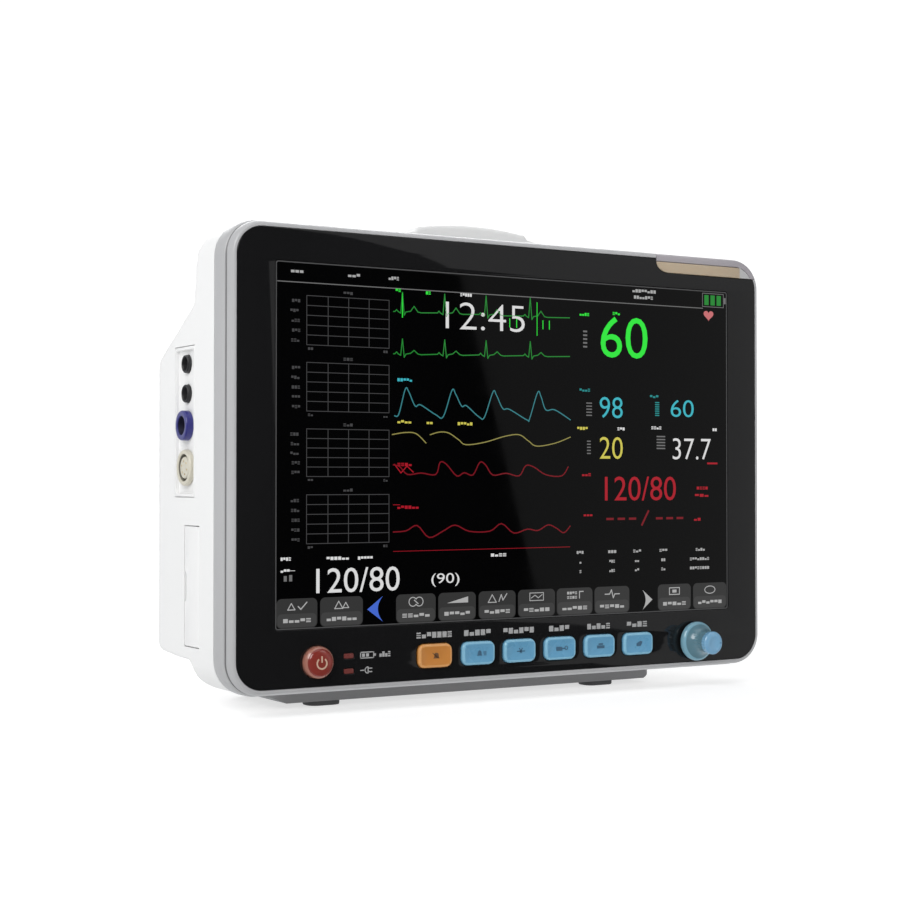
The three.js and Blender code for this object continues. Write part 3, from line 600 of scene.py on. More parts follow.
KY = -1.15
for nm, x in zip(NAMES, KEYX):
    ic = Flat()
    z = KEYZ - 0.3
    x = x + 0.6
    if nm == "silence":
        ic.poly([(x - 2.2, z - 1.4), (x + 2.2, z - 1.4), (x + 1.4, z - 0.6), (x + 1.2, z + 1.2), (x + 0.4, z + 2.0), (x - 0.4, z + 2.0), (x - 1.2, z + 1.2), (x - 1.4, z - 0.6)])
        ic.rect(x - 0.6, z - 2.3, x + 0.6, z - 1.7)
        ic.line([(x - 2.6, z + 2.0), (x + 2.6, z - 2.2)], 0.4)
    elif nm == "pause":
        ic.poly([(x - 2.0, z - 1.5), (x + 2.0, z - 1.5), (x + 1.2, z - 0.4), (x + 1.0, z + 1.0), (x, z + 1.9), (x - 1.0, z + 1.0), (x - 1.2, z - 0.4)])
        ic.rect(x + 2.4, z - 1.4, x + 2.9, z + 1.2)
        ic.rect(x + 3.4, z - 1.4, x + 3.9, z + 1.2)
    elif nm == "freeze":
        for a in range(0, 180, 60):
            c, s = math.cos(math.radians(a)), math.sin(math.radians(a))
            ic.line([(x - 2.2 * c, z - 2.2 * s), (x + 2.2 * c, z + 2.2 * s)], 0.55)
    elif nm == "nibp":
        ic.poly([(x - 3.2, z - 1.0), (x + 0.6, z - 1.3), (x + 0.6, z + 1.0), (x - 3.2, z + 1.2)])
        ic.line([(x + 0.6, z), (x + 2.4, z + 0.2)], 0.5)
        ic.ring(x + 3.1, z + 0.3, 0.9, 0.5, 0, 360, 16)
    elif nm == "print":
        ic.rect(x - 2.4, z - 1.6, x + 2.4, z + 0.5)
        ic.rect(x - 1.5, z + 0.8, x + 1.5, z + 2.0)
        ic.line([(x - 1.2, z - 2.0), (x + 1.2, z - 2.0)], 0.5)
    else:
        ic.poly([(x - 1.8, z - 1.8), (x + 0.6, z - 1.8), (x + 2.2, z + 1.2), (x + 0.9, z + 1.8), (x - 1.8, z + 0.4)])
    ic.make("key_" + nm + "_symbol", dark_ink_b if nm != "silence" else dark_ink_o, KY - 0.02, "key_" + nm, slot="key_blue" if nm != "silence" else "key_orange", thick=0.04)

# ------------------------------------------------------------------ power button, indicators, knob
PX, PZ = 41.9, 11.7
prof = [(0, -5.0), (1.5, -4.98), (3.0, -4.9), (4.4, -4.72), (5.4, -4.45), (6.0, -4.15), (6.35, -3.8), (6.5, -3.5), (6.7, -3.2), (7.1, -2.9), (7.45, -2.4), (7.65, -1.6), (7.7, -0.6), (7.7, 3.3), (8.9, 3.3), (8.9, 4.5), (2.5, 4.5), (2.5, 5.8), (0, 5.8)]
pb = lathe("power_button_fine", prof, PX, PZ, "Y", 72)
pb.data.materials.append(power_red)
pb.data.materials.append(power_side_painted_highlight)
# dome rim and side wall take the paler copy: painted highlight
for p in pb.data.polygons:
    cy = p.center.y * 1000 + YM
    p.material_index = 0 if cy < -3.3 else 1
for p in pb.data.polygons:
    p.use_smooth = True
pb.data.set_sharp_from_angle(angle=math.radians(40))
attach(pb, "power_button")
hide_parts("power_button")
sym = Flat()
sym.ring(PX, PZ - 0.2, 2.55, 0.75, 128, 412, 30)
sym.rect(PX - 0.38, PZ + 0.2, PX + 0.38, PZ + 3.3)
sym_mat = ink("print_power", (0.55, 0.36, 0.26))
so = sym.make("power_symbol", sym_mat, -4.9, "power_button", slot="power_red", thick=0.14)

for z, nm in ((13.8, "battery_led_lens"), (6.5, "mains_led_lens")):
    o = plate(nm + "_fine", [rr(56.3, 61.5, z - 1.2, z + 1.2, 0.6, 5)], 0.1, 7.3, 0.15, 2)
    done(o, led_mat, rep=nm)

KXc, KZc = 270.0, 11.3
kp = [(0, -17.3), (1.2, -17.34), (2.2, -17.5), (3.2, -17.8), (3.9, -17.93), (4.4, -17.9), (5.1, -17.66), (5.75, -17.2), (6.05, -16.7), (6.15, -16.2), (6.15, -14.8), (6.05, -14.1), (5.8, -13.0), (5.62, -11.8), (5.6, -10.4), (5.85, -9.0), (6.4, -7.8), (7.2, -6.8), (8.2, -5.9), (9.2, -5.2), (9.95, -4.7), (10.35, -4.2), (10.5, -3.6), (10.5, -2.4), (10.35, -1.8), (10.0, -1.45), (9.2, -1.2), (4.0, -1.2), (3.4, -1.3), (3.35, -13.9), (0, -13.9)]
kn = lathe("knob_fine", kp, KXc, KZc, "Y", 144, ribs=24, rib_depth=0.28, rib_from=(9, 15))
kn.data.materials.append(knob_blue)
kn.data.materials.append(knob_face_painted_highlight)
kn.data.materials.append(knob_rim_painted_highlight)
# flange rim and face take the lighter copies, ribbed side the plain blue: painted highlight
for p in kn.data.polygons:
    cy = p.center.y * 1000 + YM
    r = math.hypot(p.center.x * 1000 + PW / 2 - KXc, p.center.z * 1000 - ZM - KZc)
    p.material_index = 2 if cy > -5.0 and r > 9.3 else 1 if cy < -13.6 and r > 3.38 or cy < -16 else 0
    p.use_smooth = True
kn.data.set_sharp_from_angle(angle=math.radians(40))
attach(kn, "knob")
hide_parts("knob")
# a small pointer dimple on the knob's face, drawn as a small disc in a darker blue: painted shade
dm = lathe("knob_pointer", [(0, -17.99), (0.4, -17.98), (0.55, -17.9), (0.55, -17.6), (0, -17.6)], KXc + 4.1, KZc, "Y", 20)
done(dm, knob_pointer_painted_shade, "knob")

# ------------------------------------------------------------------ what the display shows
G, C, Y_, R, Wt, Gr, Dg, Bl, Pk, Tl = (Flat() for _ in range(10))
G2, C2, Y2, R2, Wl = (Flat() for _ in range(5))
rnd = random.Random(11)
Gr.line([(20.6, 192.6), (277, 192.6)], 0.45)
for x, z, w, n in ((27.5, 196.6, 7, 3), (58, 196.7, 7, 3), (80.5, 196.6, 6, 4), (229, 198.8, 16, 8), (230, 195.4, 13, 7)):
    Wl.marks(x, z, w, 1.7, n, rnd)
# battery
Gr.line([(276.9, 193.6), (276.9, 200.9), (291.6, 200.9), (291.6, 193.6), (276.9, 193.6)], 0.35)
Gr.rect(291.9, 195.6, 293.2, 199.0)
for i in range(3):
    G2.rect(278.2 + i * 4.3, 194.5, 281.2 + i * 4.3, 200.0)
# heart
hp = [(281.1 + 0.22 * 16 * math.sin(t) ** 3 * 0.98, 189.0 + 0.19 * (13 * math.cos(t) - 5 * math.cos(2 * t) - 2 * math.cos(3 * t) - math.cos(4 * t))) for t in [2 * math.pi * i / 28 for i in range(28)]]
Pk.poly(hp)
# numerals
G.text("60", 208.3, 163.3, 239.2, 185.1, -0.002)
C.text("98", 207.6, 131.3, 222.6, 142.4, -0.006)
C.text("60", 254.8, 132.7, 270.6, 142.0, -0.006)
Y_.text("20", 207.6, 109.7, 222.6, 121.3, -0.006)
Wt.text("37.7", 256.1, 109.7, 282.5, 121.2, -0.008)
R.text("120/80", 210.9, 87.6, 258.2, 100.4, -0.002)
for i in range(3):
    R2.rect(211.8 + i * 7.4, 77.4, 216.6 + i * 7.4, 78.6)
    R2.rect(244.6 + i * 7.0, 77.4, 249.2 + i * 7.0, 78.6)
R2.line([(235.2, 74.6), (239.6, 82.0)], 1.1)
Wt.text("12:45", 113.2, 174.2, 160.4, 187.8, -0.012)
Wt.text("120/80", 41.3, 44.4, 86.9, 56.3, 0.0)
Wt.text("(90)", 104.9, 45.6, 121.2, 52.2, 0.0)
# small words and units, as marks
for f, x, z, w, n in ((Tl, 194.5, 144.9, 7, 4), (Y_, 193, 124.8, 7, 4), (Wt, 219, 124.9, 5, 3), (Wt, 241.5, 125.8, 7, 4), (Wt, 283.6, 125.4, 3.2, 2), (Wt, 22.4, 60.4, 5.6, 4), (Wt, 46.6, 60.2, 12.4, 6), (Wt, 63.6, 60.0, 8.4, 5), (Wt, 139.6, 59.8, 9.6, 4), (R, 272.4, 93.4, 8, 4), (R, 271.0, 89.4, 10, 3), (R, 270.4, 76.4, 5, 2), (C, 85.4, 147.0, 8.6, 5), (Y_, 85.4, 126.4, 8.2, 4), (Y_, 102.0, 125.8, 3.8, 2), (Y_, 120.0, 126.0, 9, 5), (R, 85.4, 105.4, 8.4, 4), (R, 85.4, 84.4, 12.4, 6), (G, 84.4, 191.0, 3.2, 2), (G, 101.6, 190.6, 3, 2), (Wt, 121.6, 190.8, 7, 5), (G, 194.6, 184.6, 6.4, 4), (G, 216, 186.0, 5, 3), (Tl, 240.6, 142.6, 6, 3), (R, 196, 100.6, 6, 3), (R, 197, 79.6, 6, 3), (R, 279, 107.2, 9, 1), (Wt, 22.4, 54.8, 5.0, 3)):
    f.marks(x, z, w, 1.55, n, rnd)
for x, w, n in ((192.6, 4.6, 3), (212.8, 5.6, 3), (229.2, 5.6, 3), (246.8, 5.6, 3), (271.6, 6.6, 4)):
    Wl.marks(x, 60.0, w, 1.5, n, rnd)
for r_ in (54.9, 50.0):
    for x, w, n in ((194.4, 1.4, 1), (213.6, 3.8, 3), (230.4, 3.0, 2), (248, 3.0, 2), (267.6, 13.6, 8)):
        Wl.marks(x, r_, w, 1.5, n, rnd)
Gr.rect(24.2, 50.6, 25.8, 53.2)
Gr.rect(27.0, 50.6, 28.6, 53.6)
Wt.line([(23.2, 55.6), (30.0, 55.6)], 0.25)
for i in range(7):
    Tl.rect(244.2, 133.0 + i * 1.15, 247.0, 133.6 + i * 1.15)
for i in range(5):
    Gr.rect(197.0, 176.0 - i * 2.0, 199.6, 176.9 - i * 2.0)
    Gr.rect(199.0, 138.6 - i * 1.6, 202.6, 139.2 - i * 1.6)
    Gr.rect(245.2, 121.6 - i * 1.6, 251.0, 122.3 - i * 1.6)
    Gr.rect(199.4, 118.6 - i * 1.6, 201.8, 119.2 - i * 1.6)


def ecg(base, heights, x0, x1, slope, hump, w):
    pts = [(x0, base)]
    at = lambda x: base + slope * (x - x0)
    for i, (sx_, h) in enumerate(heights):
        pts += [(sx_ - 4.2, at(sx_)), (sx_ - 3.3, at(sx_) + 0.9), (sx_ - 2.4, at(sx_)), (sx_ - 1.0, at(sx_) - 0.7), (sx_, at(sx_) + h), (sx_ + 1.0, at(sx_) - 1.6), (sx_ + 2.0, at(sx_)), (sx_ + 4.6, at(sx_) + 0.5), (sx_ + 6.6, at(sx_) + hump), (sx_ + 8.8, at(sx_) + 0.3), (sx_ + 10.6, at(sx_))]
    pts.append((x1, at(x1)))
    return pts


beats = [88.4, 112.6, 137.0, 163.8]
G2.line(ecg(181.2, [(x, 9.6) for x in beats], 83.4, 188.4, 0.018, 3.0, 0.45), 0.5)
G.line([(88.4, 190.4), (88.4, 178.6)], 0.55)
G2.line(ecg(160.4, [(x, 7.4) for x in beats], 83.4, 188.4, 0.024, 2.0, 0.45), 0.5)
G.line([(168.0, 190.0), (168.0, 173.0)], 0.4)
for x in (151.0, 155.2, 171.4, 175.4):
    G.rect(x, 176.4, x + 0.5, 181.0)


def smooth(pts, n=6):
    out = []
    P_ = [pts[0]] + pts + [pts[-1]]
    for a, b, c, d in zip(P_, P_[1:], P_[2:], P_[3:]):
        for i in range(n):
            t = i / n
            out.append(tuple(0.5 * ((2 * b[k]) + (c[k] - a[k]) * t + (2 * a[k] - 5 * b[k] + 4 * c[k] - d[k]) * t * t + (3 * b[k] - a[k] - 3 * c[k] + d[k]) * t ** 3) for k in (0, 1)))
    return out + [pts[-1]]


C2.line(smooth([(84.0, 130.0), (86.4, 131.0), (90.0, 143.2), (92.0, 142.0), (95.6, 135.1), (98.7, 135.7), (107.4, 131.0), (111.8, 130.2), (116.8, 143.3), (119.0, 141.5), (122.5, 135.6), (125.4, 135.8), (132.7, 130.4), (136.0, 130.4), (141.1, 143.2), (143.2, 141.6), (147.0, 134.9), (151.0, 134.6), (161.7, 129.4), (163.4, 130.2), (168.3, 143.6), (170.4, 141.6), (173.4, 134.8), (179.0, 134.9), (188.8, 129.9)]), 0.55)
Y2.line(smooth([(82.7, 120.8), (90.0, 121.9), (96.2, 121.4), (101.8, 116.9)]), 0.5)
Y2.line(smooth([(104.2, 121.0), (109.6, 122.4), (114.9, 122.0), (120.6, 118.8), (125.0, 116.3), (136.0, 117.6), (148.3, 120.8), (156.9, 121.7), (162.6, 118.6), (167.8, 116.0), (179.0, 117.6), (188.8, 120.9)]), 0.5)
red_a = [(83.3, 106.0), (87.0, 105.0), (91.3, 101.3), (99.0, 102.0), (107.4, 101.3), (109.9, 107.3), (113.6, 106.4), (119.6, 100.6), (124.0, 102.2), (129.1, 101.1), (133.2, 107.4), (136.6, 106.2), (141.0, 101.1), (149.0, 102.0), (156.9, 100.7), (161.0, 105.9), (166.0, 105.2), (173.4, 101.3), (183.2, 100.7), (187.4, 105.4)]
R2.line(smooth(red_a, 4), 0.6)
R.line([(84.0, 106.2), (87.6, 102.0), (91.0, 105.4), (94.6, 102.4)], 0.5)
R2.line(smooth([(83.3, 73.1), (90.6, 73.6), (96.8, 76.1), (103.6, 70.1), (111.8, 73.2), (118.6, 76.0), (127.0, 72.8), (139.2, 72.7), (146.2, 76.4), (153.7, 71.5), (162.0, 73.4), (168.4, 72.6), (174.8, 75.4), (180.0, 73.6), (184.6, 71.2), (188.6, 74.6)], 4), 0.6)
R.line([(83.3, 86.4), (87, 86.4)], 0.3)
R.line([(83.3, 63.6), (188.4, 63.8)], 0.22)
# trend boxes
for zt_, zb in ((186.5, 163.0), (154.6, 131.4), (122.9, 100.2), (91.5, 68.2)):
    xs = [36.1, 47.5, 58.6, 69.8, 80.9]
    for x in xs:
        Dg.line([(x, zb), (x, zt_)], 0.34)
    for i in range(6):
        z = zb + (zt_ - zb) * i / 5
        Dg.line([(xs[0], z), (xs[-1], z)], 0.34)
        if i < 5:
            Dg.marks(27.2 + rnd.random() * 1.0, z + 1.2, 4.6, 1.5, 3, rnd)
    Dg.marks(55.6, zt_ + 1.5, 5.4, 1.4, 3, rnd)
    Dg.marks(36.6, zb - 2.4, 3.0, 1.2, 2, rnd)
    Dg.marks(77.6, zb - 2.4, 2.6, 1.2, 2, rnd)
# soft buttons along the bottom
BT = [(20.4, 41.9), (43.4, 66.5), (84.9, 107.4), (108.9, 130.8), (132.5, 154.7), (156.2, 179.0), (180.1, 202.8), (204.1, 226.8), (245.8, 268.3), (269.9, 293.2)]
bt = Flat()
bt_hi = Flat()
for a, b in BT:
    bt.poly(rr(a, b, 28.4, 42.4, 2.6, 5))
    bt_hi.poly(rr(a + 0.5, b - 0.5, 28.9, 35.2, 2.0, 5))
icon = Flat()


def tri(x, z, s):
    icon.line([(x - s, z - s * 0.8), (x, z + s * 0.8), (x + s, z - s * 0.8), (x - s, z - s * 0.8)], 0.45)


for i, (a, b) in enumerate(BT):
    m = (a + b) / 2
    z = 38.6
    icon.marks(a + 3.2, 31.0, b - a - 6.4, 1.9, 6 if b - a > 22.9 else 5, rnd)
    if i == 0:
        tri(m - 3.0, z, 1.9)
        icon.line([(m + 0.6, z), (m + 2.0, z - 1.4), (m + 5.2, z + 1.9)], 0.55)
    elif i == 1:
        tri(m - 1.6, z, 2.2)
        tri(m + 2.2, z - 0.2, 1.6)
    elif i == 2:
        icon.ring(m - 1.8, z, 2.2, 0.45, 30, 330, 18)
        icon.ring(m + 1.8, z, 2.2, 0.45, -150, 150, 18)
        icon.line([(m - 1.0, z + 0.8), (m + 1.2, z - 1.0)], 0.5)
    elif i == 3:
        icon.poly([(m - 6.0, z - 1.4), (m + 6.4, z - 1.4), (m + 6.4, z + 1.6)])
    elif i == 4:
        tri(m - 3.0, z, 2.4)
        icon.line([(m + 1.0, z - 1.6), (m + 2.4, z + 1.8), (m + 3.4, z - 1.0), (m + 5.8, z + 2.2)], 0.5)
    elif i == 5:
        icon.line([(m - 4.2, z - 1.9), (m - 4.2, z + 2.0), (m + 4.2, z + 2.0), (m + 4.2, z - 1.9), (m - 4.2, z - 1.9)], 0.4)
        icon.line([(m - 3.4, z - 0.6), (m - 1.0, z + 0.8), (m + 1.0, z - 0.6), (m + 3.4, z + 1.0)], 0.4)
    elif i == 6:
        icon.marks(m - 5.0, z - 1.8, 6.6, 1.4, 4, rnd)
        icon.marks(m - 5.0, z + 0.5, 6.6, 1.4, 4, rnd)
        icon.line([(m + 3.0, z - 1.6), (m + 3.0, z + 1.8), (m + 5.4, z + 1.8)], 0.55)
    elif i == 7:
        icon.line([(m - 4.6, z - 0.2), (m - 1.6, z - 0.2), (m - 0.4, z + 2.0), (m + 0.8, z - 2.2), (m + 1.8, z - 0.2), (m + 4.8, z - 0.2)], 0.55)
    elif i == 8:
        icon.line([(m - 3.4, z - 1.8), (m - 3.4, z + 1.8), (m + 3.4, z + 1.8), (m + 3.4, z - 1.8), (m - 3.4, z - 1.8)], 0.5)
        icon.rect(m - 1.4, z - 0.8, m + 1.4, z + 0.8)
    else:
        for k in range(20):
            t0, t1 = 2 * math.pi * k / 20, 2 * math.pi * (k + 1) / 20
            icon.line([(m + 3.6 * math.cos(t0), z + 2.0 * math.sin(t0)), (m + 3.6 * math.cos(t1), z + 2.0 * math.sin(t1))], 0.45)


def arrowhead(f, x, z, h, d, turn):
    """A crescent-backed arrow, pointing left (-1) or right (+1)."""
    n = 10
    front = [(x + turn * d / 2, z)]
    pts = [(x - turn * d / 2, z + h / 2)] + front + [(x - turn * d / 2, z - h / 2)]
    for i in range(1, n):
        t = -1 + 2 * i / n
        pts.append((x - turn * d / 2 + turn * d * 0.32 * (1 - t * t), z + t * h / 2))
    f.poly(pts)


arrowhead(Bl, 73.2, 35.8, 12.4, 8.6, -1)
arrowhead(icon, 238.8, 34.6, 10.6, 6.6, 1)
S = "display"
SY = 0.10
G.make("display_green", glow("lit_green", (0.03, 0.80, 0.05)), SY, slot=S)
C.make("display_cyan", glow("lit_cyan", (0.05, 0.46, 0.54)), SY, slot=S)
G2.make("display_green_low", glow("lit_green_low", (0.02, 0.24, 0.035)), SY, slot=S)
C2.make("display_cyan_low", glow("lit_cyan_low", (0.045, 0.23, 0.26)), SY, slot=S)
Y2.make("display_yellow_low", glow("lit_yellow_low", (0.30, 0.27, 0.08)), SY, slot=S)
Wl.make("display_white_low", glow("lit_white_low", (0.40, 0.40, 0.40)), SY, slot=S)
R2.make("display_red_low", glow("lit_red_low", (0.19, 0.008, 0.015)), SY, slot=S)
Y_.make("display_yellow", glow("lit_yellow", (0.62, 0.56, 0.09)), SY, slot=S)
R.make("display_red", glow("lit_red", (0.40, 0.010, 0.022)), SY, slot=S)
Wt.make("display_white", glow("lit_white", (0.72, 0.72, 0.72)), SY, slot=S)
Gr.make("display_grey", glow("lit_grey", (0.16, 0.16, 0.16)), SY, slot=S)
Dg.make("display_grid", glow("lit_grid", (0.06, 0.06, 0.062)), SY, slot=S)
Bl.make("display_blue", glow("lit_blue", (0.06, 0.14, 0.62)), SY, slot=S)
Pk.make("display_heart", glow("lit_pink", (0.58, 0.16, 0.17)), SY, slot=S)
Tl.make("display_teal", glow("lit_teal", (0.02, 0.26, 0.26)), SY, slot=S)
bt.make("display_buttons", glow("lit_button", (0.036, 0.036, 0.036)), SY + 0.03, slot=S)
bt_hi.make("display_buttons_shade", glow("lit_button_low", (0.052, 0.052, 0.052)), SY, slot=S)
icon.make("display_icons", glow("lit_icon", (0.42, 0.42, 0.42)), SY - 0.03, slot=S)

# ------------------------------------------------------------------ rear case
S0 = 18.6


def side_x(y):
    return -3.65 + 0.3 * (y - S0) / (REAR - S0)


def hull(name, o, y0, side, r):
    def outline(y):
        return [(x, y, z) for x, z in rr(side_x(max(y, S0)) + o, PW - side_x(max(y, S0)) - o, -3.65 + o, PH + 3.65 - o, 17 - o * 0.6, 16)]

    a = loft(name, [outline(y0), outline(S0), [(x, REAR + 4, z) for x, _, z in outline(REAR)]] if y0 < S0 else [outline(y0), [(x, REAR + 4, z) for x, _, z in outline(REAR)]])
    b = prism("b", side, -20, 340, "X")
    y1 = REAR - o
    sr = side_x(REAR)
    plan = [(side_x(S0) + o - 3, y0 - 1), (PW - side_x(S0) - o + 3, y0 - 1)]
    plan += [(PW - sr - o - r + r * math.cos(math.radians(t)), y1 - r + r * math.sin(math.radians(t))) for t in range(0, 91, 6)]
    plan += [(sr + o + r + r * math.cos(math.radians(t)), y1 - r + r * math.sin(math.radians(t))) for t in range(90, 181, 6)]
    boolean(a, b, "INTERSECT")
    boolean(a, prism("c", plan, -20, 240, "Z"), "INTERSECT")
    return a


side_out = [(8, -3.65), (44.5, -3.2), (46.8, -1.2), (48.2, 3.5), (48.6, 10.4), (66, 10.9), (82, 11.9), (88, 13.2), (92.6, 15.8), (95.2, 19.6), (96, 24.5), (96, 147), (95.2, 152), (92.4, 156.6), (87.8, 160.6), (83.2, 163.3), (63.5, 173.9), (54.4, 179.5), (48, 182.6), (45, 185.2), (43.8, 188), (43, 195.5), (42.2, 203), (41.3, 207), (40, 212.5), (38.6, 216.6), (35.5, 218.8), (30, 219.8), (18.6, 220.8), (8, 221.6)]
side_in = [(4, -0.8), (43, -0.6), (44.8, 1.2), (45.6, 6), (46, 13.3), (66, 13.8), (81.6, 14.8), (87, 16), (90.6, 18), (92.6, 21.4), (93.2, 26), (93.2, 146.4), (92.6, 150.4), (90.6, 154.2), (86.6, 157.6), (81.8, 160.8), (62, 171.4), (53, 177), (46.4, 180.2), (42.6, 183.4), (41.1, 187.4), (40.2, 195), (39.4, 202.6), (38.4, 206.6), (37.2, 211.6), (36.2, 214.4), (34.4, 216), (29.6, 217), (4, 218.5)]
NX0, NX1 = 110.8, 203.2
sh = hull("rear_shell_fine", 0, 8, side_out, 9)
ear = [(32, 192), (32, 213.5), (52, 213.8)] + [(53 + 8.8 * math.cos(math.radians(t)), 205 + 8.8 * math.sin(math.radians(t))) for t in range(80, -1, -10)] + [(61, 196), (57, 182), (55, 177.5), (50, 180.5)]
for a, b in ((101.5, NX0), (NX1, 212.5)):
    boolean(sh, prism("e", ear, a - 0.4, b + 0.4, "X"), "UNION")
boolean(sh, block("n", NX0 - 0.2, NX1 + 0.2, 30, 99, 196, 240))
rm = sh.modifiers.new("voxel", "REMESH")
rm.mode = "VOXEL"
rm.voxel_size = 0.0014
sm = sh.modifiers.new("relax", "SMOOTH")
sm.factor = 0.5
sm.iterations = 7
applied(sh)
boolean(sh, block("f", -40, 360, -10, S0, -40, 260))
ins = hull("inside", 2.8, 4, side_in, 6.2)
boolean(ins, block("n1", NX0 - 2.8, NX1 + 2.8, 27.2, 99, 193.2, 240))
boolean(ins, block("n2", 103, 211, 90.4, 99, 26, 134))
boolean(sh, ins)
cuts = [prism("k", [(53 + 2.3 * math.cos(2 * math.pi * i / 24), 205 + 2.3 * math.sin(2 * math.pi * i / 24)) for i in range(24)], 106.5, 207.5, "X")]
cuts.append(prism("k", rr(106.7, 207.3, 29.7, 130.3, 4.2, 6), 93.4, 99, "Y"))
cuts.append(block("k", -12, 8, 42.2, 67.3, 90.0, 164.3))
cuts.append(block("k", -12, 8, 35.8, 54.9, 17.1, 76.4))
cuts.append(block("k", 306, 330, 31.6, 78.4, 97.8, 158.4))
cuts.append(prism("k", [(62 + 8 * math.cos(2 * math.pi * i / 48), 72 + 8 * math.sin(2 * math.pi * i / 48)) for i in range(48)], 306, 330, "X"))
cuts.append(prism("k", rr(235.7, 268.3, 21.7, 46.3, 1.5, 4), 86, 99, "Y"))
for x, z, r in ((224, 34, 6.8), (56, 32, 4.2)):
    cuts.append(prism("k", circle(x, z, r, 32), 86, 99, "Y"))
cuts.append(prism("k", rr(70, 88, 24, 40, 0.8, 3), 86, 99, "Y"))
for i in range(9):
    cuts.append(prism("k", rr(226, 284, 102 + i * 5.4, 104.4 + i * 5.4, 1.19, 5), 86, 99, "Y"))
for i in range(6):
    cuts.append(prism("k", rr(34, 78, 112 + i * 5.4, 114.4 + i * 5.4, 1.19, 5), 86, 99, "Y"))
for i in range(5):
    cuts.append(prism("k", rr(270, 300, 62 + i * 5, 64 + i * 5, 0.99, 5), 86, 99, "Y"))
bosses = [(16, 26), (298, 26), (16, 150), (298, 150)]
for x, z in bosses:
    boolean(sh, prism("k", circle(x, z, 6, 32), 84, 93.6, "Y"), "UNION")
    cuts.append(prism("k", circle(x, z, 4.2, 32), 90, 99, "Y"))
    cuts.append(prism("k", circle(x, z, 2.0, 20), 80, 91, "Y"))
tool = cuts[0]
for c in cuts[1:]:
    boolean(tool, c, "UNION")
boolean(sh, tool)
done(sh, white, rep="rear_shell", smooth=40)

# ------------------------------------------------------------------ left side: connector panel, sockets, battery door
CN = dict(y0=42.5, y1=67.0, z0=90.3, z1=164.0, y=54.8)
CY = CN["y"]


def surf(y):
    return side_x(y) - 0.05


DIP = 1.9


def floor_x(y):
    return surf(y) + DIP


def disc(y, z, r, a, b, n=64):
    return prism("c", [(y + r * math.cos(2 * math.pi * i / n), z + r * math.sin(2 * math.pi * i / n)) for i in range(n)], a, b, "X")


cpn = prism("connector_panel_fine", [(surf(CN["y0"]), CN["y0"]), (3, CN["y0"]), (3, CN["y1"]), (surf(CN["y1"]), CN["y1"])], CN["z0"], CN["z1"], "Z")
boolean(cpn, prism("c", rr(CN["y0"] + 1.0, CN["y1"] - 1.0, CN["z0"] + 1.6, CN["z1"] - 1.6, 1.6, 8), -9, floor_x(CY), "X"))
bevel(cpn, 0.35, 3, 40)
boolean(cpn, block("c", -0.35, 2.4, CN["y0"] - 3, CN["y1"] + 2.5, 87, 166.3), "UNION")
for z, r in ((155.6, 4.75), (141.0, 4.75), (125.3, 6.2), (104.6, 7.9)):
    boolean(cpn, disc(CY, z, r, -9, 9))
done(cpn, white, rep="connector_panel")
fx = floor_x(CY)
for i, z in enumerate((155.6, 141.0)):
    pr = [(0, 17), (4.45, 17), (4.45, fx - 1.3), (4.38, fx - 1.65), (4.15, fx - 1.9), (3.9, fx - 2.0), (3.7, fx - 1.95), (3.45, fx - 1.6), (3.2, fx - 0.9), (3.2, 14), (0, 14)]
    o = lathe(f"temp_jack_{i + 1}_fine", pr, CY, z, "X", 56)
    done(o, black_pl, rep=f"temp_jack_{i + 1}")


def behind():
    return prism("c", [(floor_x(48) - GAP, 40), (20, 40), (20, 76), (floor_x(67) - GAP, 76)], 90.5, 164.5, "Z")


def socket(name, z, r_out, r_body, r_bore, out, mat, core=None):
    face = fx - out
    prof = [(0, 16), (r_body, 16), (r_body, fx), (r_out - 0.25, fx), (r_out, fx - 0.2), (r_out, face + 0.9), (r_out - 0.12, face + 0.45), (r_out - 0.42, face + 0.12), (r_out - 0.9, face), (r_bore + 0.55, face), (r_bore + 0.2, face + 0.12), (r_bore, face + 0.5), (r_bore, 12)]
    if core:
        prof += [(core, 12), (core, fx - 1.6), (core - 0.25, fx - 1.95), (core - 0.6, fx - 2.05), (1.5, fx - 2.05), (1.2, fx - 1.95), (0, fx - 1.95)]
    else:
        prof += [(1.6, 12), (1.6, 7.6), (1.4, 7.3), (0, 7.2)]
    o = lathe(name + "_fine", prof, CY, z, "X", 80)
    done(o, mat, rep=name, smooth=30)
    # the pulse socket's bore and the ECG socket's ring gap take the darker copies: painted shade
    o.data.materials.append(bore_painted_shade if not core else gap_painted_shade)
    for p in o.data.polygons:
        w, u, v = p.center.x * 1000 + PW / 2, p.center.y * 1000 + YM - CY, p.center.z * 1000 - ZM - z
        r = math.hypot(u, v)
        p.material_index = 1 if (w > face + 0.7 and r < r_bore + 0.05 and not core) or (core and w > face + 0.5 and core + 0.02 < r < r_bore + 0.05) else 0
    return o


socket("spo2_socket", 125.3, 7.4, 5.9, 4.6, 3.9, navy)
socket("ecg_socket", 104.6, 8.9, 7.6, 6.7, 2.6, ivory, 5.4)
# contacts in the ECG socket's core and on the floor of the pulse socket
for k in range(6):
    t = 2 * math.pi * k / 6 + 0.3
    o = lathe(f"ecg_contact_{k + 1}", [(0, fx - 2.2), (0.35, fx - 2.18), (0.5, fx - 2.05), (0.5, fx - 1.7), (0, fx - 1.7)], CY + 3.3 * math.cos(t), 104.6 + 3.3 * math.sin(t), "X", 16)
    done(o, brass)
for k in range(6):
    t = 2 * math.pi * k / 6
    o = lathe(f"spo2_contact_{k + 1}", [(0, 9.0), (0.4, 9.05), (0.45, 9.4), (0.45, 12.2), (0, 12.2)], CY + 3.0 * math.cos(t), 125.3 + 3.0 * math.sin(t), "X", 12)
    done(o, brass)

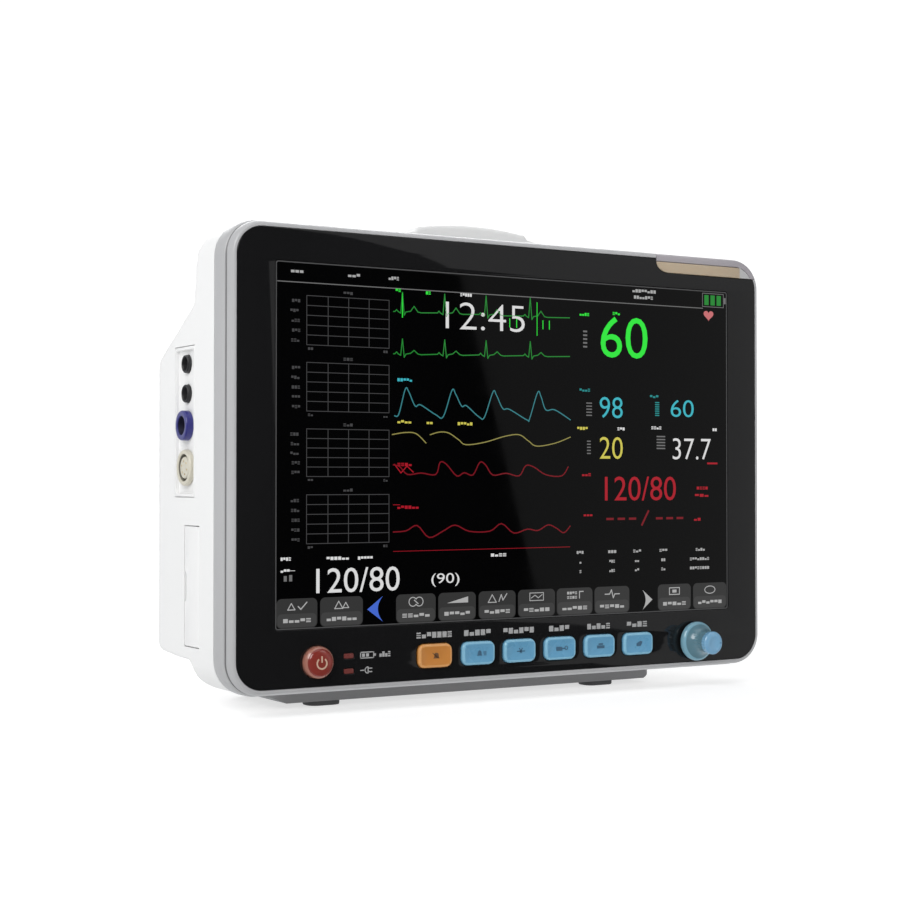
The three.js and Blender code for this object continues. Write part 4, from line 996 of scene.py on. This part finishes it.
# battery door: turns on its rounded front edge
bhx, bhy = side_x(38) + 1.9, 38.0
pts = [(bhx + 1.6 * math.cos(math.radians(t)), bhy - 1.6 * math.sin(math.radians(t))) for t in range(0, 181, 15)]
pts += [(side_x(41) + 0.02, 41), (side_x(54.5) + 0.02, 54.5), (side_x(54.5) + 3.0, 54.5), (bhx + 1.6, 41)]
bd = prism("battery_door_fine", pts, 17.5, 76, "Z")
bevel(bd, 0.35, 3, 40)
# finger scoop at the free edge
boolean(bd, prism("c", rr(51.9, 60, 39, 54, 2.4, 10), -9, side_x(60) + 1.2, "X"))
done(bd, white, "battery_door", rep="battery_door", smooth=30)

# ------------------------------------------------------------------ right side: recorder door, cuff port
rhx, rhz = PW - side_x(55) - 2.4, 100.0
pts = [(rhx + 1.7 * math.cos(math.radians(t)), rhz + 1.7 * math.sin(math.radians(t))) for t in range(180, 361, 15)]
pts += [(rhx + 1.9, 103), (rhx + 1.9, 156.8), (rhx + 1.5, 157.7), (rhx + 0.9, 158), (rhx - 1.7, 158)]
rd = prism("recorder_door_fine", pts, 32, 78, "Y")
bevel(rd, 0.3, 3, 40)
boolean(rd, prism("c", rr(44, 66, 149, 154.6, 2.7, 8), rhx + 0.9, 330, "X"))
boolean(rd, prism("c", rr(38, 72, 155.6, 156.6, 0.45, 4), 300, 330, "X"))
done(rd, white, "recorder_door", rep="recorder_door", smooth=30)
rx = PW - side_x(62)
npf = lathe("nibp_port_fine", [(0, rx - 14), (3.1, rx - 14), (3.2, rx - 13.6), (3.2, rx + 1.8), (3.5, rx + 2.08), (4.6, rx + 2.08), (5.0, rx + 1.7), (5.0, rx + 0.9), (4.6, rx + 0.7), (4.6, rx + 0.4), (6.9, rx + 0.2), (7.5, rx - 0.1), (7.7, rx - 0.6), (7.7, rx - 8), (5, rx - 8), (5, rx - 15), (0, rx - 15)], 62, 72, "X", 64)
done(npf, steel, rep="nibp_port", smooth=30)

# ------------------------------------------------------------------ handle
def arch(half, top, radius, z0, corner=5.0, n=40):
    c = top - radius
    edge = half - corner
    p = [(157 - half, z0)]
    ze = c + math.sqrt(radius ** 2 - edge ** 2)
    for i in range(9):
        t = math.radians(180 - 90 * i / 8 * 0.82)
        p.append((157 - half + corner + corner * math.cos(t), ze - corner * 0.72 + corner * math.sin(t) * 0.86))
    for i in range(n + 1):
        x = -edge + 2 * edge * i / n
        p.append((157 + x, c + math.sqrt(radius ** 2 - x * x)))
    for i in range(9):
        t = math.radians(90 * 0.82 * (1 - i / 8) + 90 * 0.18 * (1 - i / 8) * 0)
        p.append((157 + half - corner + corner * math.cos(t), ze - corner * 0.72 + corner * math.sin(t) * 0.86))
    p.append((157 + half, z0))
    return p


hd = prism("handle_fine", arch(45, 232.1, 230, 205, 3), 45.5, 60.5, "Y")
boolean(hd, prism("g", arch(34.5, 234.3, 210, 224, 2.5), 45.5, 60.5, "Y"), "UNION")
boolean(hd, prism("h", arch(35, 220.5, 120, 180, 6), 44, 62, "Y"))
for a, b in ((112, 123), (191, 202)):
    boolean(hd, prism("h", [(53 + 7.5 * math.cos(2 * math.pi * i / 48), 205 + 7.5 * math.sin(2 * math.pi * i / 48)) for i in range(48)], a, b, "X"), "UNION")
rm = hd.modifiers.new("voxel", "REMESH")
rm.mode = "VOXEL"
rm.voxel_size = 0.0007
sm = hd.modifiers.new("relax", "SMOOTH")
sm.factor = 0.5
sm.iterations = 10
applied(hd)
boolean(hd, prism("h", [(53 + 2.3 * math.cos(2 * math.pi * i / 32), 205 + 2.3 * math.sin(2 * math.pi * i / 32)) for i in range(32)], 90, 224, "X"))
done(hd, white, "handle", rep="handle", smooth=40)
# pivot pins of the handle
for nm, a, b in (("left", 107, 121.5), ("right", 192.5, 207)):
    o = prism(f"handle_pin_{nm}_fine", [(53 + 2 * math.cos(2 * math.pi * i / 32), 205 + 2 * math.sin(2 * math.pi * i / 32)) for i in range(32)], a, b, "X")
    bevel(o, 0.3, 2, 40)
    done(o, steel, rep=f"handle_pin_{nm}")

# ------------------------------------------------------------------ base, feet
bp = prism("base_plinth_fine", rr(36, 266.6, 33, 90, 6, 10), -11.6, 12.6, "Z")
for e, q in ((36, 1), (266.6, -1)):
    boolean(bp, prism("c", [(e - q * 2, -12.6), (e + q * 7.7, -12.6), (e - q * 2, -8.2)], 20, 99, "Y"))
boolean(bp, prism("c", rr(39, 263.6, 36, 87, 3, 6), -8.6, 20, "Z"))
under = prism("u", [(y, z - 0.3) for y, z in side_out], -20, 340, "X")
boolean(bp, under)
bevel(bp, 0.7, 3, 40)
done(bp, base_grey, rep="base_plinth")
for i, x in enumerate((64, 233)):
    for j, y in enumerate((40, 83)):
        nm = "foot_" + ("front", "rear")[j] + ("_left", "_right")[i]
        o = loft(nm + "_fine", [[(a, b, z) for a, b in rr(x - 9 + d, x + 9 - d, y - 6.5 + d, y + 6.5 - d, 5 - d, 10)] for z, d in ((-11.65, 0), (-13.3, 0), (-13.75, 0.15), (-13.94, 0.4), (-14.0, 0.8))])
        done(o, rubber, rep=nm)

# ------------------------------------------------------------------ rear fittings
mp = plate("mount_plate_fine", [rr(107, 207, 30, 130, 4, 8)] + [circle(x, z, 2.2, 28)[::-1] for x in (119.5, 194.5) for z in (42.5, 117.5)], 93.7, REAR - 0.2, 0.25, 2)
done(mp, zinc, rep="mount_plate")
for i, nm in enumerate(("lower_right", "lower_left", "upper_right", "upper_left")):
    x, z = bosses[i]
    o = lathe("case_screw_" + nm + "_fine", [(0, 82), (1.4, 82.2), (1.7, 82.8), (1.7, 90.4), (3.8, 90.4), (3.8, 91.4), (3.5, 92.1), (2.6, 92.6), (1.3, 92.8), (0, 92.85)], x, z, "Y", 40)
    boolean(o, block("c", x - 2.3, x + 2.3, 91.5, 94, z - 0.45, z + 0.45))
    boolean(o, block("c", x - 0.45, x + 0.45, 91.5, 94, z - 2.3, z + 2.3))
    done(o, steel, rep="case_screw_" + nm, smooth=30)
ai = prism("ac_inlet_fine", rr(236, 268, 22, 46, 1.2, 4), 78, REAR - 0.4, "Y")
boolean(ai, prism("c", [(240, 28.5), (243.5, 25), (260.5, 25), (264, 28.5), (264, 43), (240, 43)], 81, 99, "Y"))
bevel(ai, 0.4, 2, 35)
done(ai, black_pl, rep="ac_inlet")
for k, (x, z) in enumerate(((245, 32), (259, 32), (252, 38))):
    o = block(f"ac_pin_{k + 1}", x - 1, x + 1, 80.8, 92, z - 2, z + 2)
    bevel(o, 0.3, 2)
    done(o, steel)
fh = lathe("fuse_holder_fine", [(0, 76), (5.2, 76), (5.4, 76.3), (5.4, 86), (6.5, 86.2), (6.5, 95.0), (6.2, 95.5), (5.4, 95.6), (0, 95.6)], 224, 34, "Y", 48)
boolean(fh, block("c", 223.1, 224.9, 94.0, 99, 29.6, 38.4))
done(fh, black_pl, rep="fuse_holder", smooth=30)
nj = prism("network_jack_fine", rr(70.3, 87.7, 24.3, 39.7, 0.6, 3), 76, REAR - 0.6, "Y")
boolean(nj, block("c", 72.5, 85.5, 84, 99, 27, 35))
boolean(nj, block("c", 76, 82, 84, 99, 34, 38))
bevel(nj, 0.2, 2, 40)
done(nj, zinc, rep="network_jack")
for k in range(8):
    o = block(f"network_contact_{k + 1}", 74.6 + k * 1.1, 75.0 + k * 1.1, 84.05, 91, 27.05, 27.9)
    done(o, brass)
gs = lathe("ground_stud_fine", [(0, 84), (3.9, 84), (3.9, 94.2), (3.6, 94.9), (2.6, 95.0), (2.4, 95.1), (2.4, 95.6), (2.1, 95.9), (0, 95.9)], 56, 32, "Y", 40)
done(gs, brass, rep="ground_stud", smooth=30)

# ------------------------------------------------------------------ carried-over CAD nodes
inner = {
    "lcd_panel": black_pl, "lcd_bracket": zinc, "alarm_led_board": pcb, "keypad_membrane": silicone, "keypad_board": pcb,
    "encoder_shaft": steel, "encoder_body": black_pl, "recorder_housing": black_pl, "paper_roll": paper, "battery_bay": black_pl,
    "battery_pack": battery_mat, "chassis_plate": zinc, "main_board": pcb, "parameter_board": pcb, "power_supply": copper,
    "nibp_pump": black_pl, "nibp_valve": brass, "speaker": black_pl,
}
for n, m in inner.items():
    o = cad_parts[n]
    o.data.materials.clear()
    o.data.materials.append(m)

# ------------------------------------------------------------------ stage, light, camera
scene = bpy.context.scene
scene.view_settings.view_transform = "Standard"
fl = bpy.data.meshes.new("floor")
fl.from_pydata([(-6, -6, 0), (6, -6, 0), (6, 6, 0), (-6, 6, 0)], [], [(0, 1, 2, 3)])
floor = link("floor", fl)
fm, fnt, fb = material("floor_pale")
fn = noise(fnt, 3, 2)
fnt.links.new(tint(fnt, fn.outputs["Fac"], (0.50, 0.50, 0.50), (0.53, 0.53, 0.53)), fb.inputs["Base Color"])
fb.inputs["Roughness"].default_value = 0.9
fb.inputs["Specular IOR Level"].default_value = 0.1
fb.inputs["Emission Color"].default_value = (1, 1, 1, 1)
ftc = fnt.nodes.new("ShaderNodeTexCoord")
fvl = fnt.nodes.new("ShaderNodeVectorMath")
fvl.operation = "LENGTH"
fnt.links.new(ftc.outputs["Object"], fvl.inputs[0])
fmr = fnt.nodes.new("ShaderNodeMapRange")
fmr.inputs["From Min"].default_value = 0.5
fmr.inputs["From Max"].default_value = 2.6
fmr.inputs["To Min"].default_value = 0.60
fmr.inputs["To Max"].default_value = 1.06
fnt.links.new(fvl.outputs["Value"], fmr.inputs["Value"])
fnt.links.new(fmr.outputs["Result"], fb.inputs["Emission Strength"])
fl.materials.append(fm)
floor.visible_glossy = False

# A large dim card to the front right, seen only in the gloss of the panel.
cam_mm = (-333.9, -749.1, 98.3)


def mirrored(x, z, y):
    """Where the panel's reflection of the point (x, z) on it leads, at depth y in front."""
    t = (749.1 - y) / 749.1
    return (cam_mm[0] + (x - cam_mm[0]) * t, y, 98.3 + (z - 98.3) * t)


A, B = mirrored(76.0, 219.0, -1000), mirrored(195.0, 8.0, -1000)


def along(k):
    return (A[0] + (B[0] - A[0]) * k, -1000, A[2] + (B[2] - A[2]) * k)


card_me = bpy.data.meshes.new("card")
pts = [along(-0.6), along(1.6), (2400, -1000, along(1.6)[2]), (2400, -1000, along(-0.6)[2])]
card_me.from_pydata([W(*p) for p in pts], [], [(0, 1, 2, 3)])
card = link("card", card_me)
cm = bpy.data.materials.new("card_light")
cm.use_nodes = True
cnt = cm.node_tree
cnt.nodes.clear()
em = cnt.nodes.new("ShaderNodeEmission")
em.inputs["Strength"].default_value = 0.40
co = cnt.nodes.new("ShaderNodeOutputMaterial")
cnt.links.new(em.outputs[0], co.inputs["Surface"])
card_me.materials.append(cm)
card.visible_camera = False
card.visible_diffuse = False
card.visible_shadow = False
card.visible_transmission = False

world = bpy.data.worlds.new("studio")
scene.world = world
world.use_nodes = True
wn = world.node_tree
wn.nodes.clear()
lp = wn.nodes.new("ShaderNodeLightPath")
b1 = wn.nodes.new("ShaderNodeBackground")
b1.inputs["Color"].default_value = (1.0, 1.0, 1.0, 1)
b1.inputs["Strength"].default_value = 1.1
b2 = wn.nodes.new("ShaderNodeBackground")
b2.inputs["Color"].default_value = (0.9, 0.93, 0.96, 1)
wt = wn.nodes.new("ShaderNodeTexCoord")
ws = wn.nodes.new("ShaderNodeSeparateXYZ")
wr = wn.nodes.new("ShaderNodeMapRange")
wr.inputs["From Min"].default_value = -0.25
wr.inputs["From Max"].default_value = 0.35
wr.inputs["To Min"].default_value = 0.02
wr.inputs["To Max"].default_value = 0.75
wn.links.new(wt.outputs["Generated"], ws.inputs["Vector"])
wn.links.new(ws.outputs["Y"], wr.inputs["Value"])
wn.links.new(wr.outputs["Result"], b2.inputs["Strength"])
b3 = wn.nodes.new("ShaderNodeBackground")
b3.inputs["Color"].default_value = (0.95, 0.97, 1.0, 1)
b3.inputs["Strength"].default_value = 0.38
m1 = wn.nodes.new("ShaderNodeMixShader")
m2 = wn.nodes.new("ShaderNodeMixShader")
wo = wn.nodes.new("ShaderNodeOutputWorld")
wn.links.new(lp.outputs["Is Glossy Ray"], m1.inputs[0])
wn.links.new(b3.outputs[0], m1.inputs[1])
wn.links.new(b2.outputs[0], m1.inputs[2])
wn.links.new(lp.outputs["Is Camera Ray"], m2.inputs[0])
wn.links.new(m1.outputs[0], m2.inputs[1])
wn.links.new(b1.outputs[0], m2.inputs[2])
wn.links.new(m2.outputs[0], wo.inputs["Surface"])


def area(name, loc, at, w, h, power, color=(1, 1, 1)):
    l = bpy.data.lights.new(name, "AREA")
    l.shape = "RECTANGLE"
    l.size, l.size_y = w, h
    l.energy = power
    l.color = color
    o = link(name, l)
    o.location = loc
    o.rotation_mode = "QUATERNION"
    o.rotation_quaternion = (Vector(at) - Vector(loc)).to_track_quat("-Z", "Y")
    return o


area("key", (-1.5, -0.9, 1.3), (0, 0, 0.12), 1.2, 1.2, 28)
area("top", (0.1, 0.1, 1.7), (0, 0, 0.1), 1.6, 1.6, 8)
area("fill", (1.3, -1.5, 1.5), (0, 0, 0.12), 1.0, 1.0, 5)
area("rear", (0.6, 1.7, 1.2), (0, 0, 0.12), 1.4, 1.0, 13)

cam = bpy.data.cameras.new("camera")
co_ = link("camera", cam)
cam.sensor_width = 36.0
cam.lens = 69.85
cam.clip_start, cam.clip_end = 0.02, 30
co_.location = W(*cam_mm)
pitch = math.radians(0.966)
yaw = math.radians(31)
fwd = Vector((math.sin(yaw) * math.cos(pitch), math.cos(yaw) * math.cos(pitch), math.sin(pitch)))
co_.rotation_mode = "QUATERNION"
co_.rotation_quaternion = fwd.to_track_quat("-Z", "Y")
scene.camera = co_
